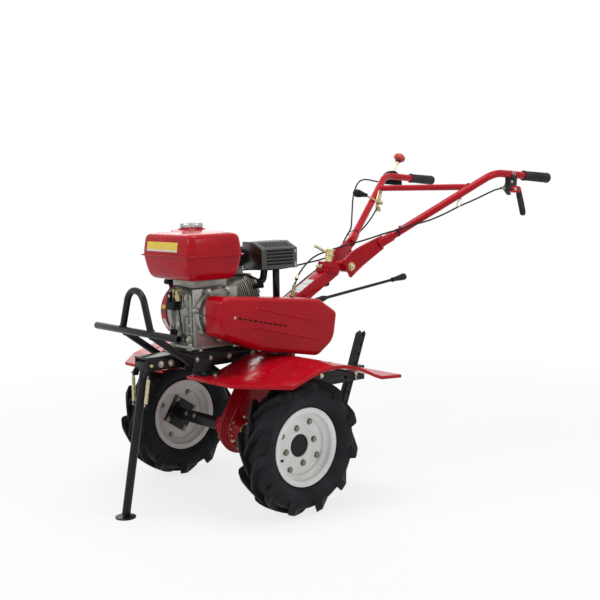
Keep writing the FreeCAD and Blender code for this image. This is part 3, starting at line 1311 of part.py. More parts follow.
def throttle_control():
    """Throttle bracket on the inner side of the right bar, and its lever."""
    root = at(*ARM_ROOT)
    aim = (at(*ARM_KNEE) - root).normalize()
    outward, up = beside(aim)
    sheet_ = num("throttle_sheet")
    seat = num("tube_radius + fit")
    base = root + aim * num("throttle_along")

    def place(along, rise, inwards):
        """A point beside the bar, from its centre line."""
        return base + aim * along + up * rise - outward * inwards

    shape = [(-14, 16), (8, 8), (9, -10), (-30, -30), (-60, -42), (-80, -36), (-80, -20), (-52, 6)]
    spots = [place(along_, rise, seat) for along_, rise in shape]
    plate = Part.Face(Part.makePolygon(spots + spots[:1])).extrude(outward * -sheet_)
    keep(feature("throttle_bracket", mirrored(plate)), "throttle_bracket")
    boss_start = place(-59, -12, seat + sheet_ + num("fit"))
    boss_end = boss_start - outward * num("pivot_reach")
    middle = boss_end + outward * 6
    grip = middle + Vector(-4, -75, 30)
    tip = grip + Vector(-3, -43, 8)
    lever = rod(boss_start, boss_end, num("pivot_boss")).fuse(rod(middle, grip, num("throttle_rod")))
    lever = lever.fuse(rod(grip, tip, num("throttle_knob"))).removeSplitter()
    keep(feature("throttle_lever", mirrored(lever)), "throttle_lever")


def cables():
    """Clutch, throttle and shift cables, from the handlebars past the swivel to the machine."""
    spot = bar_point("clutch_along")
    clutch = [
        Vector(spot.x, spot.y - 20 - num("fit"), 936), Vector(spot.x, 964, 936), Vector(258, 916, 918),
        Vector(240, 872, 898), Vector(214, 826, 878), Vector(186, 768, 848), Vector(160, 712, 826),
        Vector(138, 664, 817), Vector(116, 628, 802), Vector(97, 583, 792), Vector(60, 545, 774),
        Vector(20, 505, 758), Vector(-20, 460, 742), Vector(-26, 407, 730), Vector(2, 345, 723),
        Vector(30, 285, 705), Vector(52, 238, 682), Vector(70, 204, 660), at("78", "input_y", "592"),
        at("78", "input_y", "input_z + input_radius + fit"),
    ]
    throttle = [
        Vector(-174.2, 807, 863.7), Vector(-160, 780, 846.5), Vector(-150, 738, 815), Vector(-141, 696, 790),
        Vector(-130, 652, 770), Vector(-108, 604, 758), Vector(-88, 560, 742), Vector(-74, 514, 722),
        Vector(-62, 466, 712), Vector(-46, 412, 704), Vector(-34, 344, 699), Vector(-16, 280, 694),
        Vector(-9, 220, 690), Vector(-16, 166, 687), Vector(-60, 128, 690), Vector(-60, 84 + num("fit"), 690),
    ]
    shift = [
        Vector(-290, 955.6, 962.3), Vector(-287, 906, 970), Vector(-272, 852, 976), Vector(-258, 806, 972),
        Vector(-238, 764, 950), Vector(-212, 724, 908), Vector(-184, 694, 868), Vector(-150, 658, 828),
        Vector(-121, 628, 799), Vector(-118, 594, 766), Vector(-106, 560, 730), Vector(-90, 516, 702),
        Vector(-76, 466, 684), Vector(-64, 414, 672), Vector(-54, 364, 652), Vector(-48, 314, 628),
        Vector(-46, 268, 602), Vector(-52, 228, 576), Vector(-64, 196, 552), Vector(-64, 185, 520),
        at("0 - case_width / 2 - fit", "185", "520"),
    ]
    breaks = [[9, 12, 14], [6, 8, 10], [10, 12, 14]]
    routes = [cable(points, runs) for points, runs in zip((clutch, throttle, shift), breaks)]
    for index, name in enumerate(("handlebar_cables", "tilt_cables", "swivel_cables", "engine_cables")):
        keep(feature(name, Part.makeCompound([parts[index] for parts in routes])), name)


wheels()
gear_case()
frame()
bumper()
front_stand()
crankcase()
cylinder()
engine_sides()
fuel_tank()
exhaust()
belt_cover()
fenders()
handle_column()
hitch()
gear_lever()
swivel_head()
handlebars()
clutch_control()
shift_control()
throttle_control()
cables()

doc.recompute()

for thing in doc.Objects:
    if "Invalid" in thing.State or "Error" in thing.State:
        raise ValueError("%s has failed: %s" % (thing.Label, thing.State))
for thing in KEPT:
    if thing.Shape.isNull() or not thing.Shape.isValid() or not thing.Shape.Solids:
        raise ValueError("%s has no valid shape" % thing.Label)

os.makedirs("parts", exist_ok=True)
for thing in KEPT:
    thing.Shape.exportStep("parts/%s.step" % thing.Label)
print(len(KEPT), "sub-parts written, axle at y", round(num(AXLE_Y), 3))
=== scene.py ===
import json
import math

import bmesh
import bpy
from mathutils import Matrix, Vector


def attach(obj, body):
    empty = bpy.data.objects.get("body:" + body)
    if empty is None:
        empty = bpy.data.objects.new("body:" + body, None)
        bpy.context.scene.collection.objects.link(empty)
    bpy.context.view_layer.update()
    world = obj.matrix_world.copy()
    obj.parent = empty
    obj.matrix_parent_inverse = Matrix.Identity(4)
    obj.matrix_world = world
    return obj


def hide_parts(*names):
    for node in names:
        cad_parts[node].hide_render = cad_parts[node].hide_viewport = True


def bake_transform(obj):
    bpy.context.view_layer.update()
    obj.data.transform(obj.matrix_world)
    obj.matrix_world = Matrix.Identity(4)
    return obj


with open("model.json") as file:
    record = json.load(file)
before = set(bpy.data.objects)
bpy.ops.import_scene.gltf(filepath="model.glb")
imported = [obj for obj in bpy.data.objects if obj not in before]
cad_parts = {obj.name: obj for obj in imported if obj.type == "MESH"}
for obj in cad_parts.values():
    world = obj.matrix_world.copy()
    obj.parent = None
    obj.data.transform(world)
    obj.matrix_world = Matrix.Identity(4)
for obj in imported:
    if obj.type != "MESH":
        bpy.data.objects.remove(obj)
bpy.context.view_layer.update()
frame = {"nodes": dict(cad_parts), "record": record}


# ------------------------------------------------------------------ studio and camera
# A pale seamless floor with soft lamps above and to both sides, as for a dealer's catalogue.
# The camera stands at chest height off the belt side's front corner, tilted a little down.
scene = bpy.context.scene
scene.view_settings.view_transform = "Standard"


def put_in(name, data):
    """An object in the scene with this data."""
    thing = bpy.data.objects.new(name, data)
    scene.collection.objects.link(thing)
    return thing


def node(tree, kind, sockets=None, **settings):
    """A node with its settings; each socket named takes a value or another node's output."""
    made = tree.nodes.new(kind)
    for label, value in settings.items():
        setattr(made, label, value)
    for label, value in (sockets or {}).items():
        if isinstance(value, bpy.types.NodeSocket):
            tree.links.new(value, made.inputs[label])
        else:
            made.inputs[label].default_value = value
    return made


def new_finish(name, slot, **constants):
    """A material with one plain Principled surface and its constants; slot is not used."""
    finish = bpy.data.materials.new(name)
    finish.use_nodes = True
    surface = finish.node_tree.nodes["Principled BSDF"]
    for label, value in constants.items():
        surface.inputs[label.replace("_", " ")].default_value = value
    return finish, finish.node_tree, surface


def seen_white(tree, lit, shown, target):
    """Show one shader to the camera and in reflections, and light the machine with the other."""
    ray = node(tree, "ShaderNodeLightPath").outputs
    share = ray["Is Camera Ray"]
    for label in ("Is Glossy Ray", "Is Transmission Ray"):
        share = node(tree, "ShaderNodeMath", {0: share, 1: ray[label]}, operation="MAXIMUM").outputs[0]
    swap = node(tree, "ShaderNodeMixShader", {0: share, 1: lit.outputs[0], 2: shown.outputs[0]})
    tree.links.new(swap.outputs[0], tree.nodes[target].inputs["Surface"])


WHITE = (1, 1, 1, 1)
world = bpy.data.worlds.new("studio")
scene.world = world
world.use_nodes = True
sky = world.node_tree
sky_light = sky.nodes["Background"]
sky_light.inputs["Color"].default_value = (0.95, 0.97, 1.0, 1)
sky_light.inputs["Strength"].default_value = 0.45
sky_white = node(sky, "ShaderNodeBackground", {"Color": WHITE, "Strength": 1.0})
seen_white(sky, sky_light, sky_white, "World Output")

FLOOR_REACH = 14
floor_mesh = bpy.data.meshes.new("studio_floor")
floor_corners = [(x * FLOOR_REACH, y * FLOOR_REACH, 0) for x, y in ((-1, -1), (1, -1), (1, 1), (-1, 1))]
floor_mesh.from_pydata(floor_corners, [], [(0, 1, 2, 3)])
floor_paper, paper, paper_shade = new_finish("studio_paper", None, Base_Color=(0.86, 0.86, 0.86, 1),
                                             Roughness=0.9, Specular_IOR_Level=0.1)
paper_glow = node(paper, "ShaderNodeEmission", {"Color": WHITE, "Strength": 1.0})
from_machine = node(paper, "ShaderNodeVectorMath", {0: node(paper, "ShaderNodeTexCoord").outputs["Object"]},
                    operation="LENGTH")
glow_share = node(paper, "ShaderNodeMapRange", {"Value": from_machine.outputs["Value"], "From Min": 0.9,
                                                "From Max": 2.6, "To Min": 0.78, "To Max": 1.0},
                  interpolation_type="SMOOTHSTEP")
half_glow = node(paper, "ShaderNodeMixShader", {0: glow_share.outputs["Result"], 1: paper_shade.outputs[0],
                                                2: paper_glow.outputs[0]})
seen_white(paper, paper_shade, half_glow, "Material Output")
floor_mesh.materials.append(floor_paper)
put_in("studio_floor", floor_mesh)

for name, place, size, power in (
        ("lamp_over", (0.4, -0.3, 3.4), 1.6, 54),
        ("lamp_front", (-0.6, -3.4, 2.3), 1.4, 30),
        ("lamp_belt_side", (3.4, 0.9, 2.4), 1.2, 25),
        ("lamp_starter_side", (-3.2, 1.2, 2.2), 1.6, 18)):
    lamp_data = bpy.data.lights.new(name, "AREA")
    lamp_data.shape = "SQUARE"
    lamp_data.size = size
    lamp_data.energy = power
    lamp = put_in(name, lamp_data)
    lamp.location = place
    lamp.rotation_euler = (Vector((0, 0, 0.5)) - lamp.location).to_track_quat("-Z", "Y").to_euler()

CAMERA_PLACE = Vector((2.56044, -2.319556, 0.94572))
CAMERA_YAW = math.radians(49.345)
CAMERA_PITCH = math.radians(6.156)
CAMERA_ROLL = -0.01520544
ahead = Vector((-math.sin(CAMERA_YAW) * math.cos(CAMERA_PITCH),
                math.cos(CAMERA_YAW) * math.cos(CAMERA_PITCH), -math.sin(CAMERA_PITCH)))
level_right = ahead.cross(Vector((0, 0, 1))).normalized()
level_up = level_right.cross(ahead)
right = level_right * math.cos(CAMERA_ROLL) + level_up * math.sin(CAMERA_ROLL)
up = level_up * math.cos(CAMERA_ROLL) - level_right * math.sin(CAMERA_ROLL)
camera_data = bpy.data.cameras.new("camera")
camera_data.lens = 62.13
camera_data.sensor_width = 36
camera = put_in("camera", camera_data)
camera.matrix_world = Matrix.Translation(CAMERA_PLACE) @ Matrix((right, up, -ahead)).transposed().to_4x4()
scene.camera = camera


# ------------------------------------------------------------------ gear case
# Two pressed steel halves bolted face to face along a stepped rim, with the chain inside.
# Gloss red enamel, painted darker here as shade; a seat on top carries the column, and turned bosses hold the
# axles.
AXLE_Y = -0.399236
AXLE = (0, 200)
X = Vector((1, 0, 0))
Y = Vector((0, 1, 0))
Z = Vector((0, 0, 1))
SIDES = (("left", 1), ("right", -1))
RED = (0.40, 0.002, 0.010)


def spot(x, y, z):
    """A point in metres from millimetres measured on the machine, y from the axle."""
    return Vector((x / 1000, y / 1000 + AXLE_Y, z / 1000))


def round_spot(x, y, z, reach, turn):
    """A point at a distance and an angle from a line along X through y and z."""
    return spot(x, y + reach * math.cos(turn), z + reach * math.sin(turn))


def cloud(tree, scale, stretch=(1, 1, 1), detail=4.0):
    """Soft blotches fixed to the piece; scale is blotches to the metre."""
    place = node(tree, "ShaderNodeTexCoord").outputs["Object"]
    fit = node(tree, "ShaderNodeMapping", {"Vector": place, "Scale": stretch}).outputs["Vector"]
    return node(tree, "ShaderNodeTexNoise", {"Vector": fit, "Scale": scale, "Detail": detail}).outputs["Fac"]


def graded(tree, source, *stops):
    """Colours along a ramp; each stop is a place and a colour."""
    ramp = node(tree, "ShaderNodeValToRGB", {"Fac": source})
    for number, (place, colour) in enumerate(stops):
        mark = ramp.color_ramp.elements[number] if number < 2 else ramp.color_ramp.elements.new(place)
        mark.position = place
        mark.color = (*colour, 1)
    return ramp.outputs["Color"]


def ranged(tree, source, low, high, first, last):
    """The source between low and high, spread from first to last."""
    spread = node(tree, "ShaderNodeMapRange", {"Value": source, "From Min": low, "From Max": high,
                                               "To Min": first, "To Max": last})
    return spread.outputs["Result"]


def laid_over(tree, share, under, over, way="MIX"):
    """One colour over another by a share."""
    return node(tree, "ShaderNodeMix", {"Factor": share, "A": under, "B": over}, data_type="RGBA",
                blend_type=way).outputs["Result"]


def tinted(colour, share):
    """A colour made darker or lighter."""
    return tuple(min(1, channel * share) for channel in colour)


def dressed(look, tone, rough, height=None, strength=0.0, deep=0.0):
    """The finish with its colour, roughness and a bump from a height between 0 and 1; deep is in metres."""
    finish, tree, surface = look
    tree.links.new(tone, surface.inputs["Base Color"])
    tree.links.new(rough, surface.inputs["Roughness"])
    if height:
        bump = node(tree, "ShaderNodeBump", {"Strength": strength, "Distance": deep, "Height": height})
        tree.links.new(bump.outputs["Normal"], surface.inputs["Normal"])
    return finish


def enamel(name, slot, colour, rough, dust, specular=0.12):
    """Baked enamel: uneven gloss, orange peel, fine rubs, and dust in the hollows."""
    look = new_finish(name, slot, Coat_Weight=0.12, Coat_Roughness=0.08, Specular_IOR_Level=specular)
    tree = look[1]
    body_colour = graded(tree, cloud(tree, 9), (0.3, tinted(colour, 0.88)), (0.7, tinted(colour, 1.1)))
    dust_colour = graded(tree, cloud(tree, 60), (0.4, tinted(colour, 0.75)), (0.75, dust))
    rubs = cloud(tree, 34, (1, 0.2, 1), 8)
    tone = laid_over(tree, ranged(tree, rubs, 0.60, 0.85, 0.0, 0.08), body_colour, dust_colour)
    gloss = ranged(tree, rubs, 0.35, 0.8, rough, rough + 0.1)
    return dressed(look, tone, gloss, cloud(tree, 420), 0.02, 0.0002)


red_enamel = enamel("red_enamel", "red_paint", RED, 0.22, (0.42, 0.05, 0.04))
# A darker copy of the red enamel: painted shade for the gear case and the belt back plate, which sit in
# shadow.
shaded_red = enamel("shaded_red", "red_paint", tinted(RED, 0.72), 0.30, (0.32, 0.05, 0.04))


def smoothed(mesh, angle=35):
    """The mesh with round shading, and edges sharper than the angle left crisp."""
    mesh.shade_smooth()
    mesh.set_sharp_from_angle(angle=math.radians(angle))
    return mesh


def joined(*meshes):
    """Several meshes as one."""
    shape = bmesh.new()
    for mesh in meshes:
        shape.from_mesh(mesh)
    whole = bpy.data.meshes.new("joined")
    shape.to_mesh(whole)
    shape.free()
    return whole


def piece(name, parts, finish, body="chassis", *nodes):
    """Put a mesh, or a list of them, in the scene as a named piece that rides with its body."""
    mesh = joined(*parts) if isinstance(parts, list) else parts
    mesh.name = name
    thing = put_in(name, mesh)
    mesh.materials.clear()
    mesh.materials.append(finish)
    if body:
        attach(thing, body)
    if nodes:
        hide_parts(*nodes)
    return thing


def plain_mesh(thing):
    """The evaluated object as one plain mesh; the object it came from is removed."""
    mesh = bpy.data.meshes.new_from_object(thing.evaluated_get(bpy.context.evaluated_depsgraph_get()))
    bpy.data.objects.remove(thing)
    return mesh


def rounded(mesh, width, angle=32, steps=2):
    """The mesh with its sharp edges rounded over."""
    thing = put_in("rounding", mesh)
    soft = thing.modifiers.new("edges", "BEVEL")
    soft.width = width
    soft.segments = steps
    soft.limit_method = "ANGLE"
    soft.angle_limit = math.radians(angle)
    soft.use_clamp_overlap = True
    return plain_mesh(thing)


def softened(node_name, width=0.0008, finish=None, angle=32, steps=2):
    """A merged copy of a CAD node with rounded edges and smooth shading, in the node's place."""
    mesh = frame["nodes"][node_name].data.copy()
    shape = bmesh.new()
    shape.from_mesh(mesh)
    bmesh.ops.remove_doubles(shape, verts=shape.verts, dist=1e-6)
    bmesh.ops.dissolve_limit(shape, angle_limit=math.radians(0.6), verts=shape.verts, edges=shape.edges)
    shape.to_mesh(mesh)
    shape.free()
    if mesh.has_custom_normals:
        mesh.attributes.remove(mesh.attributes["custom_normal"])
    if width:
        mesh = rounded(mesh, width, angle, steps)
    bodies = frame["record"]["behaviour"]["bodies"].items()
    home = [body for body, names in bodies if node_name in names][0]
    return piece(node_name + "_shown", smoothed(mesh), finish, home, node_name)


def skinned(rings, angle=35, ends=True, looped=False, merged=False):
    """A mesh over rings of points: ends fills the outer two, looped joins them, merged welds doubles."""
    shape = bmesh.new()
    loops = [[shape.verts.new(point) for point in ring] for ring in rings]
    if ends:
        shape.faces.new(loops[0])
        shape.faces.new(loops[-1])
    for near, far in zip(loops, loops[1:] + loops[:looped]):
        for step in range(max(len(near), len(far))):
            corners = [near[step % len(near)], near[(step + 1) % len(near)], far[(step + 1) % len(far)],
                       far[step % len(far)]]
            corners = [corner for place, corner in enumerate(corners) if corner not in corners[:place]]
            if len(corners) > 2:
                shape.faces.new(corners)
    if merged:
        bmesh.ops.remove_doubles(shape, verts=shape.verts, dist=1e-7)
    bmesh.ops.recalc_face_normals(shape, faces=shape.faces)
    mesh = bpy.data.meshes.new("skin")
    shape.to_mesh(mesh)
    shape.free()
    return smoothed(mesh, angle)


def turns(steps):
    """Equal turns all round, in radians."""
    return [2 * math.pi * step / steps for step in range(steps)]


def round_about(aim, steps, across=None):
    """Directions all round an axis."""
    aim = aim.normalized()
    if across is None:
        across = aim.orthogonal().normalized()
    other = aim.cross(across)
    return [across * math.cos(turn) + other * math.sin(turn) for turn in turns(steps)]


def turned(profile, start, aim, steps=48):
    """A shape turned on an axis from start along aim; the profile is (distance, radius) pairs in mm."""
    rings = []
    for distance, radius in profile:
        centre = start + aim.normalized() * distance / 1000
        ring = [centre + way * radius / 1000 for way in round_about(aim, steps)]
        rings.append(ring if radius else [centre])
    return skinned(rings, 28, False, merged=True)


def solid(profile, start, aim, steps=48):
    """A turned shape with flat closed ends."""
    return turned([(profile[0][0], 0)] + profile + [(profile[-1][0], 0)], start, aim, steps)


def slab(outline, reach, width=0.0, steps=2):
    """A flat outline of points pushed through by reach, with its edges rounded by width."""
    mesh = skinned([outline, [point + reach for point in outline]])
    return smoothed(rounded(mesh, width, 32, steps)) if width else mesh


CASE_LOW = (20, 194)
CASE_TOP = (185, 460)
CASE_RADIUS = 76
CASE_STEPS = [(0.6, 3.2), (0.6, 0.6), (1.2, 0), (4.0, 0), (4.6, 0.6), (4.6, 3.4), (8.2, 3.4), (8.8, 2.8),
              (11.4, 2.8), (12.0, 3.4), (12.6, 6.4), (16.4, 6.4), (17.0, 5.8), (19.6, 5.8), (20.4, 6.6),
              (21.0, 10), (26.5, 10.5), (30, 12.5), (32.2, 16), (33, 21)]
AXLE_BOSS = [(20, 0), (20, 46), (28, 46), (33, 44), (35, 40), (40, 36), (52, 31.5), (64, 30), (66, 28.5),
             (66, 14), (60, 13.2)]
INPUT_BOSS = [(20, 0), (20, 44), (30, 44), (34, 42), (38, 36), (90, 28), (101, 28), (101.6, 20)]
case_run = math.atan2(CASE_TOP[1] - CASE_LOW[1], CASE_TOP[0] - CASE_LOW[0])
CASE_ENDS = ((CASE_LOW, case_run + math.pi / 2), (CASE_TOP, case_run - math.pi / 2))


def case_outline(x, radius, shares):
    """Points round the case's two ends at one x; shares are parts of each half turn."""
    return [round_spot(x, *centre, radius, first + math.pi * share)
            for centre, first in CASE_ENDS for share in shares]


for side, sign in SIDES:
    half = skinned([case_outline(sign * out, CASE_RADIUS - inset, [step / 20 for step in range(21)])
                    for out, inset in CASE_STEPS], 40)
    seat = slab([spot(sign * 0.4, y, z) for y, z in ((118, 430), (236, 430), (236, 545), (118, 545))],
                X * sign * 0.0286, 0.004, 3)
    parts = [half, seat, turned(AXLE_BOSS, spot(0, *AXLE), X * sign)]
    if side == "left":
        parts.append(turned(INPUT_BOSS, spot(0, 172, 502), X))
    piece("gear_case_" + side + "_pressing", parts, shaded_red, "chassis", "gear_case_" + side)


# ------------------------------------------------------------------ screws and bolts of the machine
# Zinc plated hexagon screws with yellow passivation and a washer under each head.
# One tree stands a screw on every point of a mesh; the point carries its aim and its size.
def plated(name, pale, deep, rough=0.3):
    """Zinc plate passivated yellow, with a faint rainbow of green and bronze."""
    look = new_finish(name, "zinc_yellow", Metallic=1.0)
    tree = look[1]
    tone = graded(tree, cloud(tree, 70), (0.32, deep), (0.5, pale), (0.68, tinted(deep, 1.25)))
    gloss = ranged(tree, cloud(tree, 160), 0.3, 0.7, rough, rough + 0.22)
    return dressed(look, tone, gloss, cloud(tree, 900), 0.15, 0.0003)


yellow_zinc = plated("yellow_zinc", (0.60, 0.52, 0.29), (0.38, 0.34, 0.18))
bright_zinc = plated("bright_zinc", (0.56, 0.53, 0.45), (0.30, 0.27, 0.19))


def new_tree(name, sizes):
    """A Geometry Nodes tree with its geometry and named sizes."""
    tree = bpy.data.node_groups.new(name, "GeometryNodeTree")
    tree.interface.new_socket("Geometry", in_out="INPUT", socket_type="NodeSocketGeometry")
    for label, kind, value in sizes + [("Finish", "Material", None)]:
        entry = tree.interface.new_socket(label, in_out="INPUT", socket_type="NodeSocket" + kind)
        if value is not None:
            entry.default_value = value
    tree.interface.new_socket("Geometry", in_out="OUTPUT", socket_type="NodeSocketGeometry")
    return tree, tree.nodes.new("NodeGroupInput").outputs


def ended(tree, given, points, shape, **more):
    """End a tree: the shape on every point, made real and given its finish."""
    placed = node(tree, "GeometryNodeInstanceOnPoints", {"Points": points, "Instance": shape, **more})
    real = node(tree, "GeometryNodeRealizeInstances", {0: placed.outputs[0]})
    painted = node(tree, "GeometryNodeSetMaterial", {"Geometry": real.outputs[0],
                                                     "Material": given["Finish"]})
    node(tree, "NodeGroupOutput", {"Geometry": painted.outputs[0]})
    return tree


def carried(tree, label, kind):
    """What each point of the base mesh carries under a name."""
    found = node(tree, "GeometryNodeInputNamedAttribute", {"Name": label}, data_type=kind)
    return [socket for socket in found.outputs if socket.enabled][0]


def grown(mesh, tree, finish, **sizes):
    """The mesh that a tree grows from a base mesh, made plain."""
    thing = put_in("grown", mesh)
    step = thing.modifiers.new(tree.name, "NODES")
    step.node_group = tree
    sizes["Finish"] = finish
    for entry in tree.interface.items_tree:
        if entry.in_out == "INPUT" and entry.name in sizes:
            step[entry.identifier] = sizes[entry.name]
    return plain_mesh(thing)


def counted(tree, way, *values):
    """The result of one sum on values or sockets."""
    return node(tree, "ShaderNodeMath", dict(enumerate(values)), operation=way).outputs[0]


def screw_tree():
    """A washer and a hexagon head on every point, stood along the point's aim."""
    tree, given = new_tree("screws", [("Washer height", "Float", 0.16), ("Head height", "Float", 0.62),
                                      ("Washer radius", "Float", 1.32)])
    thick = given["Washer height"]
    high = given["Head height"]
    wide = given["Washer radius"]
    washer = node(tree, "GeometryNodeMeshCylinder", {"Vertices": 20, "Radius": wide, "Depth": thick})
    head = node(tree, "GeometryNodeMeshCylinder", {"Vertices": 6, "Depth": high})
    dome = node(tree, "GeometryNodeMeshCone", {"Vertices": 12, "Radius Top": 0.62, "Radius Bottom": 0.86,
                                               "Depth": 0.10})
    both = node(tree, "GeometryNodeJoinGeometry")
    for solid, lift in ((washer, counted(tree, "MULTIPLY", thick, 0.5)),
                        (head, counted(tree, "ADD", counted(tree, "MULTIPLY", high, 0.5), thick)),
                        (dome, counted(tree, "ADD", high, thick))):
        place = node(tree, "ShaderNodeCombineXYZ", {"Z": lift}).outputs[0]
        moved = node(tree, "GeometryNodeTransform", {"Geometry": solid.outputs["Mesh"], "Translation": place})
        tree.links.new(moved.outputs["Geometry"], both.inputs["Geometry"])
    aim = carried(tree, "aim", "FLOAT_VECTOR")
    stand = node(tree, "FunctionNodeAlignRotationToVector", {"Vector": aim}, axis="Z").outputs["Rotation"]
    return ended(tree, given, given["Geometry"], both.outputs["Geometry"], Rotation=stand,
                 Scale=carried(tree, "size", "FLOAT"))


screws_grow = screw_tree()


def screws(name, spots, body="chassis", finish=bright_zinc):
    """Screws at (place, aim, head radius in mm); all of one body in one piece."""
    base = bpy.data.meshes.new(name)
    base.from_pydata([place for place, aim, size in spots], [], [])
    base.attributes.new("aim", "FLOAT_VECTOR", "POINT")
    base.attributes.new("size", "FLOAT", "POINT")
    base.attributes["aim"].data.foreach_set("vector", [part for place, aim, size in spots for part in aim])
    base.attributes["size"].data.foreach_set("value", [size / 1000 for place, aim, size in spots])
    return piece(name, smoothed(grown(base, screws_grow, finish), 30), finish, body)


case_screws = []
for side, sign in SIDES:
    case_screws += [(place, X * sign, 5.5)
                    for place in case_outline(sign * 32.6, 58, (0.1, 0.3, 0.5, 0.7, 0.9))]
    case_screws += [(round_spot(sign * 34.4, *AXLE, 38.5, turn + 0.3), X * sign, 4.4) for turn in turns(6)]
screws("gear_case_screws", case_screws, "chassis", yellow_zinc)
for side, sign in SIDES:
    seal = turned([(64.5, 14), (66.4, 15), (66.8, 21), (66.8, 27.5), (65.6, 29)], spot(0, *AXLE), X * sign)
    piece("axle_seal_" + side, seal, yellow_zinc)


# ------------------------------------------------------------------ tyres
# Ribbed farm tyres of black rubber on 8 inch rims, moulded in one piece with tall curved lugs.
# The two rows of lugs are half a pitch apart, and their inner ends meet the ground first.
TRACK_HALF = 310
LUG_COUNT = 11
LUG_PHASE = -14.5
CARCASS = [(24, 103), (31.4, 102.6), (31.6, 116.6), (34.5, 119.5), (38, 120.4), (38.6, 122.2), (38, 124.4),
           (40.4, 127), (44.5, 134), (47.6, 143), (48.8, 152), (48.4, 160), (47.0, 162.2), (47.2, 165.2),
           (45.0, 171), (40.5, 177.4), (33, 181.2), (20, 182.8), (0, 183.4)]
TYRE_HOLLOW = [(-23, 104), (-32, 128), (-40, 150), (-36, 168), (0, 174), (36, 168), (40, 150), (32, 128),
               (23, 104), (24, 103)]
LUG_PATH = [(-5.5, 28.5, 183, 200, 7.5, 12), (6, 22.0, 183, 200, 8.5, 12.5), (17, 14.5, 182.5, 200, 9.5, 13),
            (28, 8.2, 180.5, 200, 10.5, 14), (38, 3.6, 178, 199.6, 11.5, 15),
            (45.5, 1.0, 173, 197.2, 12.5, 16), (51.6, -0.6, 166, 188, 13, 15.5),
            (51.4, -1.6, 158, 172, 10.5, 12), (49.0, -2.2, 152, 159, 7, 8)]


def worn_rubber(name, slot, colour, dust):
    """Matt rubber, greyed by handling, with a fine moulded grain."""
    look = new_finish(name, slot, Specular_IOR_Level=0.12)
    tree = look[1]
    ground = graded(tree, cloud(tree, 14, detail=8), (0.35, tinted(colour, 0.8)), (0.7, tinted(colour, 1.7)))
    bloom = graded(tree, cloud(tree, 90), (0.3, colour), (0.8, dust))
    share = ranged(tree, cloud(tree, 26, (1, 1, 0.6), 7), 0.48, 0.75, 0.0, 0.5)
    rough = ranged(tree, cloud(tree, 40), 0.3, 0.7, 0.5, 0.72)
    return dressed(look, laid_over(tree, share, ground, bloom), rough, cloud(tree, 1100), 0.25, 0.0006)


tyre_rubber = worn_rubber("tyre_rubber", "tyre", (0.011, 0.012, 0.014), (0.034, 0.033, 0.031))


def lug_mesh(sign):
    """One lug about the origin's X axis: a curved bar from the tread's middle over the shoulder."""
    rings = []
    for x, turn, low, high, top_half, foot_half in LUG_PATH:
        sunk = 0 if high > 180 else (2.2 if x < 45 else 4.2)
        ring = []
        for half, radius, out in ((-foot_half, low - 1.5, x - sunk), (-top_half, high, x),
                                  (top_half, high, x), (foot_half, low - 1.5, x - sunk)):
            angle = math.radians(turn) + half / radius
            ring.append(Vector((sign * out, radius * math.cos(angle), radius * math.sin(angle))) / 1000)
        rings.append(ring)
    return rounded(skinned(rings), 0.0016, 30, 1)


def ring_tree():
    """Copies of the piece's own mesh turned round a wheel's axle."""
    tree, given = new_tree("round_the_axle", [("Count", "Int", 11), ("Phase", "Float", 0.0),
                                              ("Centre", "Vector", None)])
    points = node(tree, "GeometryNodePoints", {"Count": given["Count"], "Position": given["Centre"]})
    share = counted(tree, "DIVIDE", node(tree, "GeometryNodeInputIndex").outputs[0], given["Count"])
    whole = counted(tree, "MULTIPLY_ADD", share, 2 * math.pi, given["Phase"])
    about = node(tree, "ShaderNodeCombineXYZ", {"X": whole}).outputs[0]
    turn = node(tree, "FunctionNodeEulerToRotation", {0: about}).outputs[0]
    return ended(tree, given, points.outputs[0], given["Geometry"], Rotation=turn)


def flipped(profile):
    """A profile's mirror image, from its last point back."""
    return [(-x, radius) for x, radius in reversed(profile)]


round_the_axle = ring_tree()
for side, sign in SIDES:
    centre = spot(sign * TRACK_HALF, *AXLE)
    parts = [turned(CARCASS + flipped(CARCASS[:-1]) + TYRE_HOLLOW, centre, X, 120)]
    for half in (1, -1):
        phase = math.radians(LUG_PHASE + (0 if half == sign else 180 / LUG_COUNT))
        parts.append(grown(lug_mesh(half), round_the_axle, tyre_rubber, Count=LUG_COUNT, Phase=phase,
                           Centre=centre))
    piece("tyre_" + side + "_moulding", smoothed(joined(*parts), 34), tyre_rubber, "wheel_" + side,
          "tyre_" + side)


# ------------------------------------------------------------------ rims and hubs
# Pressed steel rims with rolled flanges and a flat disc in the middle, white gloss enamel.
# Four screws join disc and hub plate and four more the disc's two layers; the hubs are black.
RIM_FLANGE = [(35.0, 115.4), (34.4, 112.5), (33.8, 105), (32.6, 101.2), (30, 99.4), (19.5, 98.8), (16.4, 96),
              (13.6, 89), (11.4, 86.2), (7.5, 85)]
RIM_DISC = [(3.6, 84), (2.6, 81.5), (2.6, 64), (3.9, 61.5), (3.9, 38), (2.6, 34.2), (-2.4, 34), (-2.5, 81.5),
            (-3.4, 84)]
RIM_WELL = [(10, 88.4), (11.8, 90.2), (14.6, 97.5), (18.4, 101.6), (30, 102.2), (31.9, 104), (32.1, 115.2),
            (33.4, 116.4), (35.0, 115.4)]
white_enamel = enamel("white_enamel", "wheel_white", (0.74, 0.75, 0.72), 0.32, (0.52, 0.50, 0.43))
dull_zinc = plated("dull_zinc", (0.26, 0.26, 0.20), (0.13, 0.12, 0.09), 0.42)
black_enamel = enamel("black_enamel", "black_paint", (0.011, 0.011, 0.012), 0.30, (0.045, 0.042, 0.038))


def tipped(degrees):
    """Two directions square to X: one that points back and up by these degrees, and one square to it."""
    turn = math.radians(degrees)
    return Vector((0, math.cos(turn), math.sin(turn))), Vector((0, -math.sin(turn), math.cos(turn)))


